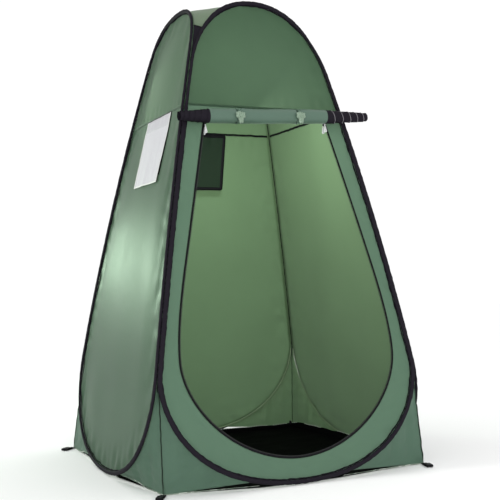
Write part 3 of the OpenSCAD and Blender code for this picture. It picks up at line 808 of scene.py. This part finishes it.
def seam_cord(name, path, inward):
    """Bound seam from where the hoops part down to the ground corner, felt on both faces."""
    slim = 0.3 + 0.7 * smoothstep(path[:, 2], 0.004, 0.035)
    rings = tube_rings(path, np.broadcast_to(-inward, path.shape),
                       lambda i, a: (0.0022 * np.cos(a) * slim[i], 0.0034 * np.sin(a) * slim[i]), 8)
    run = np.linspace(0, 0.5, len(path))
    uv = strip_uv(run, np.linspace(0, 0.01, 8))
    obj = build(name, rings, grid_quads(len(path), 8, wrap_cols=True)[:, ::-1], [M["seam"]], uv)
    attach(obj, "tent")


def seam_knot(name, foot):
    """The seam binding's loose end, tied in a small knot where it meets the ground sheet."""
    n, m = 14, 22
    lat = np.linspace(0.02, math.pi - 0.02, n)[:, None]
    lon = np.linspace(0, 2 * math.pi, m, endpoint=False)[None]
    swell = 1 + 0.18 * np.sin(3 * lon + 2 * lat) + 0.10 * np.sin(7 * lat + 2 * lon)
    ball = np.stack([0.006 * np.sin(lat) * np.cos(lon) * swell,
                     0.006 * np.sin(lat) * np.sin(lon) * swell,
                     0.010 * np.cos(lat) + 0 * lon], -1)
    points = ball + foot + np.array([0, 0, 0.024])
    uv = np.stack([0.006 * lon + 0 * lat, 0.01 * lat + 0 * lon], -1)
    obj = build(name, points, grid_quads(n, m, wrap_cols=True)[:, ::-1], [M["black"]], uv)
    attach(obj, "tent")


def hem_strip(name, rows, inward):
    """Doubled hem with a pale edge along the bottom of a gusset."""
    low, high = rows[-1], rows[0]
    up = (high - low) / np.maximum(np.linalg.norm(high - low, axis=1, keepdims=True), 1e-6)
    from_corner = np.abs(np.arange(len(low)) - (len(low) - 1) / 2)[:, None]
    out = -inward * (0.0003 + 0.0013 * smoothstep(from_corner, 3, 8))
    section = [low + out, low + up * 0.0018 + 1.3 * out, low + up * 0.0036 + out,
               low + up * 0.0036 + 0.2 * out, low + 0.2 * out]
    points = np.stack(section, 1)
    run = lengths(low)
    uv = strip_uv(run, np.linspace(0, 0.03, 5))
    quads = grid_quads(len(low), 5, wrap_cols=True)
    at = quads[:, 0] // 5
    pale = np.sin(at * 2.3) + np.sin(at * 0.71 + 1.0) > 0.5
    obj = build(name, points, quads, [M["hem"], M["thread"]], uv, pale.astype(int))
    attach(obj, "tent")


for corner_index in range(4):
    corner_patch(corner_index)
    gusset(corner_index)
roof()


# ---- Floor -----------------------------------------------------------------------------
def floor_sheet():
    """Ground sheet whose edge turns up inside the walls."""
    edge = float(wall(0)) - 0.022
    reach = 0.15
    corners = []
    for k in range(4):
        sx, sy = SIGNS[k]
        gx, gy = GROUND[k][0] - sx * 0.014, GROUND[k][1] - sy * 0.014
        before = ((-edge, -reach), (reach, -edge), (edge, reach), (-reach, edge))[k]
        after = ((-reach, -edge), (edge, -reach), (reach, edge), (-edge, reach))[k]
        corners += [before, (gx, gy), after]
    rim = resample(np.array(corners + corners[:1]), 241)[:-1]
    r = np.concatenate([[1.0, 1.0], np.linspace(0.992, 0.04, 26)])
    rise = np.concatenate([[0.020, 0.0012], np.zeros(26)])
    points = np.zeros((len(r), len(rim), 3))
    points[..., :2] = rim[None] * r[:, None, None]
    turned_up = smoothstep(np.maximum(rim[:, 0], rim[:, 1]), 0.30, 0.50)
    points[..., 2] = 0.0009 + rise[:, None] * np.maximum(turned_up, 0.04)
    at_back = smoothstep(rim[:, 1] - rim[:, 0], -0.05, 0.05)
    points[0, :, :2] *= (0.9985 - 0.0145 * at_back)[:, None]
    points[0, :, 2] += 0.012 * turned_up * (1 - at_back)
    wrinkle = np.maximum(ripples(points[..., 0], points[..., 1], 0.22, 44), 0) * 0.0022
    wrinkle += np.maximum(ripples(points[..., 0], points[..., 1], 0.07, 45), 0) * 0.0007
    points[2:, :, 2] += wrinkle[2:]
    points[0, :, 2] += 0.002 * turned_up * ripples(rim[:, 0], rim[:, 1], 0.12, 46)
    rows, count = points.shape[:2]
    flat_points = np.concatenate([points.reshape(-1, 3), [(0, 0, 0.001)]])
    last = (rows - 1) * count + np.arange(count)
    faces = [tuple(q) for q in grid_quads(rows, count, wrap_cols=True)]
    faces += [(int(a), int(b), rows * count) for a, b in zip(last, np.roll(last, -1))]
    obj = build("floor_cloth", flat_points, faces, [M["floor"]], flat_points[:, :2], None, 0.0008)
    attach(obj, "tent")
    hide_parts("floor_sheet")
    stitched_edge(points[0][np.roll(turned_up > 0.9, 0)])


def stitched_edge(line):
    """Pale overlocked thread along the turned-up edge of the floor, in short stitches."""
    order = np.argsort(np.arctan2(line[:, 0] - line[:, 1], line[:, 0] + line[:, 1]))
    at = resample(line[order], 520)
    run = np.gradient(at, axis=0)
    run /= np.linalg.norm(run, axis=1, keepdims=True)
    parts, quads = [], []
    angle = np.linspace(0, 2 * math.pi, 6, endpoint=False)
    for k in range(0, len(at) - 3, 3):
        if ripples(k * 0.01, 0.0, 0.21, 48) < -0.35:
            continue
        out = np.array([run[k][1], -run[k][0], 0.0])
        ends = (at[k], at[k + 2])
        for p, size in ((ends[0], 0.4), (ends[0] + 0.3 * (ends[1] - ends[0]), 1.0),
                        (ends[0] + 0.7 * (ends[1] - ends[0]), 1.0), (ends[1], 0.4)):
            ring = p + 0.0019 * size * (np.cos(angle)[:, None] * out
                                        + np.sin(angle)[:, None] * np.array([0, 0, 1.0]))
            parts.append(ring - (0, 0, 0.0003))
    count = len(parts) // 4
    one = grid_quads(4, 6, wrap_cols=True)
    quads = (one[None] + 24 * np.arange(count)[:, None, None]).reshape(-1, 4)
    obj = build("floor_edge_stitching", np.concatenate(parts), quads, [M["thread"]],
                np.concatenate(parts)[:, :2])
    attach(obj, "tent")


floor_sheet()


# ---- Tapes, zip and windows ------------------------------------------------------------
def strip(name, side, low_edge, high_edge, out, thick, material, nodes, slot, closed=False,
          body="tent"):
    """A sewn band on a wall between two outlines, with rounded edges."""
    points = ribbon(low_edge, high_edge, side, out, thick)
    rows, cols = points.shape[:2]
    quads = grid_quads(rows, cols, wrap_rows=closed, wrap_cols=True)
    run = lengths(low_edge)
    uv = strip_uv(run, np.linspace(0, 0.02, cols))
    if not closed:
        quads = np.concatenate([quads, [[0, 2, 3, 5]], [[(rows - 1) * cols + c for c in (5, 3, 2, 0)]]])
    obj = build(name, points, quads, [material], uv)
    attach(obj, body)
    if nodes:
        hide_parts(nodes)
    return obj


def seam_tape(side):
    end = float(wall(SEAM_Z)) - 0.012
    x = np.linspace(-end, end, 200)
    wander = 0.0006 * ripples(x, 0 * x, 0.05, 21 + side)
    low = np.stack([x, SEAM_Z - 0.0045 + wander], 1)
    high = np.stack([x, SEAM_Z + 0.0045 + wander], 1)
    strip(SIDES[side] + "_seam_binding", side, low, high, -0.0024, 0.0012, M["web"],
          SIDES[side] + "_seam_tape", "black_webbing")
    fold = np.stack([x, SEAM_Z - 0.0035 + wander], 1)
    strip(SIDES[side] + "_seam_fold", side, fold, fold + (0, 0.006), 0.0006, 0.0010, M["upper"],
          None, "dark_green_fabric")


def corner_tapes():
    """Bindings that run up inside each corner between the walls."""
    z = np.linspace(JOIN_LOW - 0.06, JOIN_HIGH - 0.02, 150)
    parts, quads, start = [], [], 0
    for k in range(4):
        sx, sy = SIGNS[k]
        a = wall(z) - 0.0017 + 0.0004 * ripples(z, 0 * z, 0.03, 25 + k)
        leg = 0.0032 + 0.0003 * ripples(z, 0 * z, 0.06, 35 + k)
        none = 0 * z
        section = [(0, leg), (none, none), (leg, none), (leg, none + 0.001),
                   (none + 0.002, none + 0.002), (none + 0.001, leg)]
        rows = [np.stack([sx * (a - u), sy * (a - v), z], 1) for u, v in section]
        parts.append(np.stack(rows, 1).reshape(-1, 3))
        q = grid_quads(len(z), 6, wrap_cols=True) + start
        quads.append(q if sx * sy > 0 else q[:, ::-1])
        start += len(z) * 6
    points = np.concatenate(parts)
    uv = np.stack([points[:, 2], points[:, 0]], 1)
    obj = build("corner_bindings", points, np.concatenate(quads), [M["web"]], uv)
    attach(obj, "tent")
    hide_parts("corner_tapes")


def zip_track():
    """The zip's tape round the door, and its row of teeth."""
    half = DOOR_HALF.copy()
    half[-1] = (DOOR_TOP_HALF + DOOR_FLARE * 0.015, DOOR_TOP - 0.015)
    line = resample(half, 420)
    whole = np.concatenate([line[::-1] * (-1, 1), line[1:]])
    edge = inset(whole, 0.0003, closed=False)
    inner = inset(whole, 0.0073, closed=False)
    strip("door_zip_tape", FRONT, edge, inner, 0.0004, 0.0022, M["web"], "zip_tape",
          "black_webbing")
    track = inset(whole, 0.0092, closed=False)
    count = int(np.linalg.norm(np.diff(track, axis=0), axis=1).sum() / 0.0034)
    at = resample(track, count)
    run = np.gradient(at, axis=0)
    run /= np.linalg.norm(run, axis=1, keepdims=True)
    side = np.stack([-run[:, 1], run[:, 0]], 1)
    corners = []
    for along, across, out in ((-1, -1, 1), (1, -1, 1), (0.7, 1, 1), (-0.7, 1, 1),
                               (-1, -1, -1), (1, -1, -1), (0.7, 1, -1), (-0.7, 1, -1)):
        p = at + run * along * 0.0011 + side * across * 0.0018
        corners.append(on_wall(FRONT, p[:, 0], p[:, 1], -0.0006 + out * 0.0012))
    points = np.stack(corners, 1)
    box = np.array([(0, 1, 2, 3), (7, 6, 5, 4), (0, 4, 5, 1), (1, 5, 6, 2), (2, 6, 7, 3),
                    (3, 7, 4, 0)])
    quads = (box[None] + 8 * np.arange(count)[:, None, None]).reshape(-1, 4)
    teeth = build("door_zip_teeth", points, quads, [M["teeth"]])
    for polygon in teeth.data.polygons:
        polygon.use_smooth = False
    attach(teeth, "tent")
    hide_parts("zip_chain")


def rounded_rectangle(x, z, radius, n=8):
    """Corner points of a rectangle with rounded corners, anticlockwise seen from outside."""
    points = []
    for cx, cz, start in ((x[1], z[0], 270), (x[1], z[1], 0), (x[0], z[1], 90), (x[0], z[0], 180)):
        mx = cx - radius if cx == x[1] else cx + radius
        mz = cz - radius if cz == z[1] else cz + radius
        for a in np.radians(np.linspace(start, start + 90, n)):
            points.append((mx + radius * math.cos(a), mz + radius * math.sin(a)))
    return np.array(points)


def window(side):
    """Net in the hole, a bound edge round it, and the lining cloth flap that hangs outside."""
    name = SIDES[side]
    x = np.linspace(WINDOW_X[0] + 0.003, WINDOW_X[1] - 0.003, 60)
    z = np.linspace(WINDOW_Z[0] + 0.003, WINDOW_Z[1] - 0.001, 56)
    gx, gz = np.meshgrid(x, z)
    sag = 0.0012 * ripples(gx, gz, 0.12, 41 + side)
    net = on_wall(side, gx, gz, -0.0016 + sag * 0.5)
    # the net is opaque and its dark green is painted shade for the closed flap's back seen through the
    # mesh
    obj = grid(name + "_window_net_painted_shade", net, [M["mesh"]], 0.0006)
    declare(obj, "tent", name + "_window_mesh", net)
    outline = resample(np.concatenate([rounded_rectangle(WINDOW_X, WINDOW_Z, 0.006),
                                       [(WINDOW_X[1] - 0.006, WINDOW_Z[0])]]), 300)[:-1]
    strip(name + "_window_edge", side, inset(outline, -0.004), inset(outline, 0.010), 0.0006,
          0.0014, M["web"], name + "_window_binding", "black_webbing", closed=True)
    strip(name + "_window_inner_edge", side, inset(outline, -0.004), inset(outline, 0.010), -0.0030,
          0.0012, M["web"], None, "black_webbing", closed=True)
    flap_x = np.linspace(WINDOW_X[0] + 0.001, WINDOW_X[1] - 0.001, 60)
    flap_z = np.linspace(FLAP_Z[1], FLAP_Z[0] + 0.001, 60)
    gx, gz = np.meshgrid(flap_x, flap_z)
    flap = on_wall(side, gx, gz, flap_rise(side, gx, gz))
    obj = grid(name + "_window_flap_cloth", flap, [M["pale"]], 0.0007, flip=True)
    declare(obj, name + "_window_flap", name + "_window_flap", flap)
    sides = np.concatenate([
        np.stack([np.full(50, flap_x[-1]), np.linspace(flap_z[0], flap_z[-1], 50)], 1),
        np.stack([np.linspace(flap_x[-1], flap_x[0], 60), np.full(60, flap_z[-1])], 1)[1:],
        np.stack([np.full(50, flap_x[0]), np.linspace(flap_z[-1], flap_z[0], 50)], 1)[1:],
    ])
    # hem band round the flap's sides and foot, whiter than the flap as a painted highlight
    raised_band(name + "_window_flap_hem", name, side, sides, inset(sides, -0.007, False), 0.0012,
                "hem_painted_highlight")
    top = np.stack([np.linspace(flap_x[0], flap_x[-1], 60), np.full(60, flap_z[0] - 0.002)], 1)
    raised_band(name + "_window_flap_header", name, side, top, top - (0, 0.046), 0.0008, "header")


def flap_rise(side, x, z):
    """How far a window flap stands off its wall: a slight wave that grows to its foot."""
    drop = (FLAP_Z[1] - z) / FLAP_H
    wave = 0.0022 * drop * np.sin(x * 2 * math.pi / 0.16 + 0.8) + 0.0016 * drop**2
    wave = wave + 0.0008 * drop * ripples(x, z, 0.07, 61 + side)
    return 0.0030 + np.abs(wave)


def raised_band(label, name, side, edge, inner, thick, material):
    """A layer sewn on a flap's face between two lines, with a rolled edge."""
    rows = []
    for t, lift in ((0, 0.0), (0.02, 0.7), (0.2, 1.0), (0.5, 0.9), (0.8, 1.0), (0.98, 0.7),
                    (1, 0.0)):
        p = edge + (inner - edge) * t
        rows.append(on_wall(side, p[:, 0], p[:, 1], flap_rise(side, p[:, 0], p[:, 1])
                            + 0.0001 + thick * lift))
    points = np.stack(rows, 1)
    run = lengths(edge)
    uv = strip_uv(run, np.linspace(0, 0.03, 7))
    obj = build(label, points, grid_quads(len(edge), 7)[:, ::-1], [M[material]], uv)
    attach(obj, name + "_window_flap")


for wall_side in range(4):
    seam_tape(wall_side)
corner_tapes()
zip_track()
window(LEFT)
window(BACK)
for piece in ("zip_slider_left", "zip_slider_right"):
    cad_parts[piece].data.materials.clear()
    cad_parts[piece].data.materials.append(M["enamel"])
for piece in ("zip_pull_left", "zip_pull_right", "inner_pull_left", "inner_pull_right"):
    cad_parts[piece].data.materials.clear()
    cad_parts[piece].data.materials.append(M["white"])


# ---- Rolled door -----------------------------------------------------------------------
ROLL_R, ROLL_CORE = 0.0292, 0.0115
ROLL_LEFT, ROLL_RIGHT = -0.383, 0.445
GREEN_LEFT, GREEN_RIGHT, COIL_W = -0.262, 0.245, 0.0026


def roll_place(x, y, z):
    """From the roll's own frame, x along it, to the tent's."""
    c, s = math.cos(ROLL_TILT), math.sin(ROLL_TILT)
    centre_y = -(float(wall(ROLL_Z)) + ROLL_OUT)
    return np.stack([x * c - z * s, centre_y + y, ROLL_Z + x * s + z * c], -1)


def roll_squeeze(x):
    """How the roll's radius changes along it: pulled in under the ties, full between them."""
    full = 1.0 - 0.10 * smoothstep(np.abs(x + 0.01), 0.17, 0.36)
    for tie in TIES:
        full = full - 0.13 * np.exp(-(((x - tie) / 0.011) ** 2))
        full = full + 0.012 * np.exp(-(((np.abs(x - tie) - 0.03) / 0.014) ** 2))
    return full


def door_roll():
    """The door, rolled up from its bottom edge: one spiral sheet, whose narrow top is outside
    and whose wider lower part shows beyond it, edge after edge, at both ends."""
    length = DOOR_TOP - DOOR_BOTTOM
    shrink = (ROLL_R**2 - ROLL_CORE**2) / length
    turns = 2 * (ROLL_R - ROLL_CORE) / shrink
    angle = np.linspace(0, turns, int(turns / (2 * math.pi) * 34))
    radius = ROLL_R - shrink * angle / 2
    s = (ROLL_R**2 - radius**2) / shrink
    height = DOOR_TOP - s
    half = np.interp(height, DOOR_HALF[:, 1], DOOR_HALF[:, 0])
    widen = np.clip((half - DOOR_TOP_HALF) / (DOOR_MAX_HALF - DOOR_TOP_HALF), -1, 1)
    core = s > DOOR_TOP - DOOR_MAX_Z
    left = np.where(core, -0.30 - 0.08 * widen, -DOOR_TOP_HALF - widen * (-ROLL_LEFT - DOOR_TOP_HALF))
    right = np.where(core, 0.36 + 0.08 * widen, DOOR_TOP_HALF + widen * (ROLL_RIGHT - DOOR_TOP_HALF))
    border_left = np.maximum(GREEN_LEFT - left, COIL_W + 0.004)
    border_right = np.maximum(right - GREEN_RIGHT, COIL_W + 0.004)
    cols = []
    edge_steps = [0.0, COIL_W * 0.5, COIL_W, COIL_W + 0.0015]
    for e in edge_steps:
        cols.append(left + e)
    for f in np.linspace(0.15, 1, 7):
        cols.append(left + COIL_W + 0.0015 + f * (border_left - COIL_W - 0.0015))
    n_green = 110
    for f in np.linspace(0, 1, n_green + 1)[1:-1]:
        cols.append(left + border_left + f * (right - left - border_left - border_right))
    for f in np.linspace(0.15, 1, 7)[::-1]:
        cols.append(right - COIL_W - 0.0015 - f * (border_right - COIL_W - 0.0015))
    for e in edge_steps[::-1]:
        cols.append(right - e)
    x = np.stack(cols, 1)
    n = x.shape[1]
    cell = np.arange(n - 1)
    kinds = np.zeros(n - 1, int)
    kinds[(cell < 10) | (cell >= n - 11)] = 1
    # outermost cells at the right end: the zip coil edge, pale grey as a painted highlight
    kinds[cell >= n - 3] = 2
    from_edge = np.minimum(x - left[:, None], right[:, None] - x)
    a = angle[:, None] + 0 * x
    r = radius[:, None] * roll_squeeze(x)
    r = r + 0.0009 * (from_edge < COIL_W) * (0.6 + 0.4 * np.sin(s[:, None] * 2 * math.pi / 0.0042))
    slow = 0.022 * ripples(x, np.sin(a) * 0.04, 0.10, 101, stretch=0.8)
    pleats = np.zeros_like(x)
    for tie in TIES:
        near = np.exp(-(((x - tie) / 0.020) ** 2))
        pleats += near * 0.060 * np.sin(9 * a + 30 * (x - tie))
        pleats += near * 0.025 * np.sin(17 * a + 1.3)
    lumps = 0.03 * smoothstep(np.abs(x), 0.25, 0.29) * ripples(x, a * 0.02, 0.022, 103)
    r = r * (1 + slow + pleats + lumps)
    tip = np.clip((x - (ROLL_RIGHT - 0.014)) / 0.014, 0, 1)
    r = r * np.sqrt(1 - 0.75 * tip**2)
    squash = 1 + 0.03 * np.cos(2 * a)
    start = math.radians(62)
    y = r * np.cos(start + a) * squash
    z = r * np.sin(start + a) / squash
    points = roll_place(x, y, z)
    quads = grid_quads(*x.shape)
    uv = np.stack([x, s[:, None] + 0 * x], -1)
    indices = np.tile(kinds, len(angle) - 1)
    obj = build("rolled_door_cloth", points, quads, [M["roll"], M["black"], M["coil"]], uv,
                indices)
    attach(obj, "tent")
    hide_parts("door_roll", "door_roll_end_left", "door_roll_end_right")
    return obj


def flap_root():
    """The short stretch of door cloth from its sewn top edge down to the roll."""
    x = np.linspace(-DOOR_TOP_HALF + 0.006, DOOR_TOP_HALF - 0.006, 90)
    centre_y = -(float(wall(ROLL_Z)) + ROLL_OUT)
    rows = []
    for t in np.linspace(0, 1, 12):
        bx, bz = x, np.full_like(x, DOOR_TOP + 0.004)
        top = np.stack([bx, -(wall(bz) + 0.0012), bz], 1)
        turn = math.radians(62)
        r = ROLL_R * roll_squeeze(x) * 0.99
        low = roll_place(x, r * math.cos(turn), r * math.sin(turn))
        bow = 0.006 * math.sin(math.pi * t)
        rows.append(top * (1 - t) + low * t + np.array([0, 0.2 * bow, -bow]))
    points = np.stack(rows, 0)
    obj = grid("door_top_cloth", points, [M["roll"]], 0.0008)
    declare(obj, "tent", None, points)


def tie(name, x0, node):
    """A strap that gathers the roll: a pleated band round it."""
    n, across = 96, 7
    a = np.linspace(0, 2 * math.pi, n, endpoint=False)
    x = np.linspace(-0.0055, 0.0055, across)
    rows = []
    for layer, lift in ((1, 0.0022), (0, 0.0008)):
        order = x if layer else x[::-1]
        for dx in order:
            r = ROLL_R * float(roll_squeeze(np.array(x0 + dx))) * (1 + 0.055 * np.sin(9 * a))
            r = np.maximum(r, ROLL_R * 0.86) + lift + 0.0012
            edge = 0.0006 * (abs(dx) > 0.005)
            xs = x0 + dx + 0.0012 * np.sin(5 * a + 1)
            rows.append(roll_place(xs, (r - edge) * np.cos(a), (r - edge) * np.sin(a)))
    points = np.stack(rows, 1)
    quads = grid_quads(n, 2 * across, wrap_rows=True, wrap_cols=True)
    uv = np.stack(np.broadcast_arrays((a * ROLL_R)[:, None], np.linspace(0, 0.03, 2 * across)[None]),
                  -1)
    obj = build(name + "_band", points, quads, [M["gusset"]], uv)
    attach(obj, "tent")
    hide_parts(node)


def knot(name, body):
    """A toggle bar bound with cord, on the front of a tie."""
    low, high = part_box(body)
    centre = (low + high) / 2
    n, m = 20, 34
    t = np.linspace(-1, 1, m)
    a = np.linspace(0, 2 * math.pi, n, endpoint=False)
    length = (high.x - low.x) / 2
    radius = 0.0040 * np.sqrt(np.maximum(1 - np.abs(t) ** 5, 0.0))
    groove = 1 - 0.22 * np.exp(-((t / 0.16) ** 2)) + 0.05 * np.sin(t * 46)
    x = centre.x + t[:, None] * length + 0 * a[None]
    y = centre.y + 0.0016 + (radius * groove)[:, None] * np.cos(a)[None]
    tilt = t[:, None] * length * math.tan(ROLL_TILT)
    z = centre.z + (radius * groove)[:, None] * np.sin(a)[None] + tilt
    points = np.stack([x, y, z], -1)
    quads = grid_quads(m, n, wrap_cols=True)
    caps = [tuple(range(n)), tuple((m - 1) * n + k for k in reversed(range(n)))]
    uv = strip_uv(t * length, a * 0.004)
    obj = build(name, points, [tuple(q) for q in quads] + caps, [M["cord"]], uv)
    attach(obj, body)
    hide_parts(body)
    bow(name.replace("bar", "bow"), centre, body)


def bow(name, centre, body):
    """The tie's end bunched round the toggle: three crumpled puckers of cloth."""
    n, m = 26, 36
    lat = np.linspace(0.02, math.pi - 0.02, n)[:, None]
    lon = np.linspace(0, 2 * math.pi, m, endpoint=False)[None]
    parts, quads, uvs = [], [], []
    puckers = ((-0.008, 0.009, 0.011, 0.012, 3), (0.008, 0.007, 0.010, 0.012, 5),
               (0.001, -0.010, 0.0095, 0.014, 7))
    for k, (dx, dz, wide, tall, seed) in enumerate(puckers):
        fold = 1 + 0.22 * np.sin(5 * lon + seed + 3 * lat) * np.sin(lat)
        fold = fold + 0.12 * np.sin(11 * lon - 2 * lat * seed) * np.sin(lat) ** 2
        x = centre.x + dx + wide * np.sin(lat) * np.cos(lon) * fold
        y = centre.y - 0.0012 + 0.0052 * np.cos(lat) * (1 + 0.2 * np.sin(3 * lon))
        y = y + 0.0022 * np.sin(7 * lon + seed) * np.sin(lat)
        z = centre.z + dz + tall * np.sin(lat) * np.sin(lon) * fold
        parts.append(np.stack([x, y + 0 * lon, z], -1).reshape(-1, 3))
        quads.append(grid_quads(n, m, wrap_cols=True)[:, ::-1] + k * n * m)
        uvs.append(np.stack([x, z], -1).reshape(-1, 2))
    obj = build(name, np.concatenate(parts), np.concatenate(quads), [M["cord"]],
                np.concatenate(uvs))
    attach(obj, body)


door_roll()
flap_root()
tie("door_tie_left", TIES[0], "door_tie_left")
tie("door_tie_right", TIES[1], "door_tie_right")
knot("toggle_left_bar", "toggle_left")
knot("toggle_right_bar", "toggle_right")


# ---- Stake loops -----------------------------------------------------------------------
def stake_loop(corner):
    """Folded webbing sewn flat near the tent, with an open eye for a peg at its end."""
    name = CORNERS[corner]
    length, eye, web = 0.080, 0.010, 0.0016
    turn = math.radians(LOOP_ANGLES[corner])
    along, across = (math.cos(turn), math.sin(turn)), (-math.sin(turn), math.cos(turn))
    r = eye / 2 - web / 2
    arc = [(length - eye / 2 + r * math.sin(a), eye / 2 - r * math.cos(a))
           for a in np.linspace(0, math.pi, 14)]
    line = [(0.003, web / 2), (0.020, web / 2), (0.045, web / 2)] + arc
    line += [(0.045, eye - web / 2), (0.036, eye - web), (0.027, 2.2 * web), (0.018, 1.6 * web),
             (0.003, 1.6 * web)]
    centre = resample(np.array(line), 90)
    run = np.gradient(centre, axis=0)
    run /= np.linalg.norm(run, axis=1, keepdims=True)
    normal = np.stack([-run[:, 1], run[:, 0]], 1)
    wide = np.linspace(-0.0123, 0.0123, 13)
    rows = []
    for sign in (1, -1):
        for w in (wide if sign > 0 else wide[::-1]):
            curl = web / 2 * (1 - 0.5 * (abs(w) / 0.0123) ** 6)
            p = centre + normal * sign * curl
            z = np.maximum(p[:, 1], 0.0002)
            rows.append(np.stack([GROUND[corner][0] + p[:, 0] * along[0] + w * across[0],
                                  GROUND[corner][1] + p[:, 0] * along[1] + w * across[1], z], 1))
    points = np.stack(rows, 1)
    s = lengths(centre)
    uv = strip_uv(s, np.r_[wide, wide[::-1]])
    quads = [tuple(q) for q in grid_quads(len(centre), 26, wrap_cols=True)]
    ends = [tuple(range(26))[::-1], tuple((len(centre) - 1) * 26 + k for k in range(26))]
    obj = build("stake_webbing_" + name, points, quads + ends, [M["web"]], uv)
    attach(obj, "stake_loop_" + name)
    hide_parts("stake_loop_" + name)


for corner_index in range(4):
    stake_loop(corner_index)


# ---- Studio ----------------------------------------------------------------------------
def studio():
    """Pale floor, white surroundings and four soft lights: two outside and two in the cabin."""
    size, level = 14.0, -0.0015
    mesh = bpy.data.meshes.new("studio_floor")
    mesh.from_pydata([(x * size, y * size, level) for x, y in SIGNS], [], [(0, 1, 2, 3)])
    material, _, shader = new_material("studio_white")
    shader.inputs["Base Color"].default_value = (0.97, 0.97, 0.97, 1)
    shader.inputs["Roughness"].default_value = 0.9
    shader.inputs["Specular IOR Level"].default_value = 0.0
    mesh.materials.append(material)
    floor = bpy.data.objects.new("studio_floor", mesh)
    bpy.context.scene.collection.objects.link(floor)
    world = bpy.data.worlds.new("studio_world")
    bpy.context.scene.world = world
    world.use_nodes = True
    background = world.node_tree.nodes["Background"]
    background.inputs["Color"].default_value = (1.0, 1.0, 1.0, 1)
    background.inputs["Strength"].default_value = 1.05
    lights = (("band", (-1.75, 3.4, 1.30), (-0.5, 0, 1.0), 1.2, 0.5, 40),
              ("front", (-1.2, -4.6, 0.9), (0, 0, 0.6), 2.2, 1.2, 40),
              ("cabin", (-0.20, -0.20, 1.30), (0.45, 0.02, 0.75), 0.34, 0.34, 6.6),
              ("glow", (-0.04, 0.10, 1.50), (-0.24, -0.42, 1.42), 0.5, 0.3, 2.0))
    for name, place, target, width, tall, power in lights:
        data = bpy.data.lights.new(name, "AREA")
        data.shape = "RECTANGLE"
        data.size, data.size_y, data.energy = width, tall, power
        data.color = (0.72, 1.0, 0.74) if name == "band" else (1.0, 1.0, 1.0)
        lamp = bpy.data.objects.new(name, data)
        lamp.location = place
        lamp.rotation_euler = (Vector(target) - Vector(place)).to_track_quat("-Z", "Y").to_euler()
        bpy.context.scene.collection.objects.link(lamp)
    bpy.context.scene.view_settings.view_transform = "Standard"


studio()
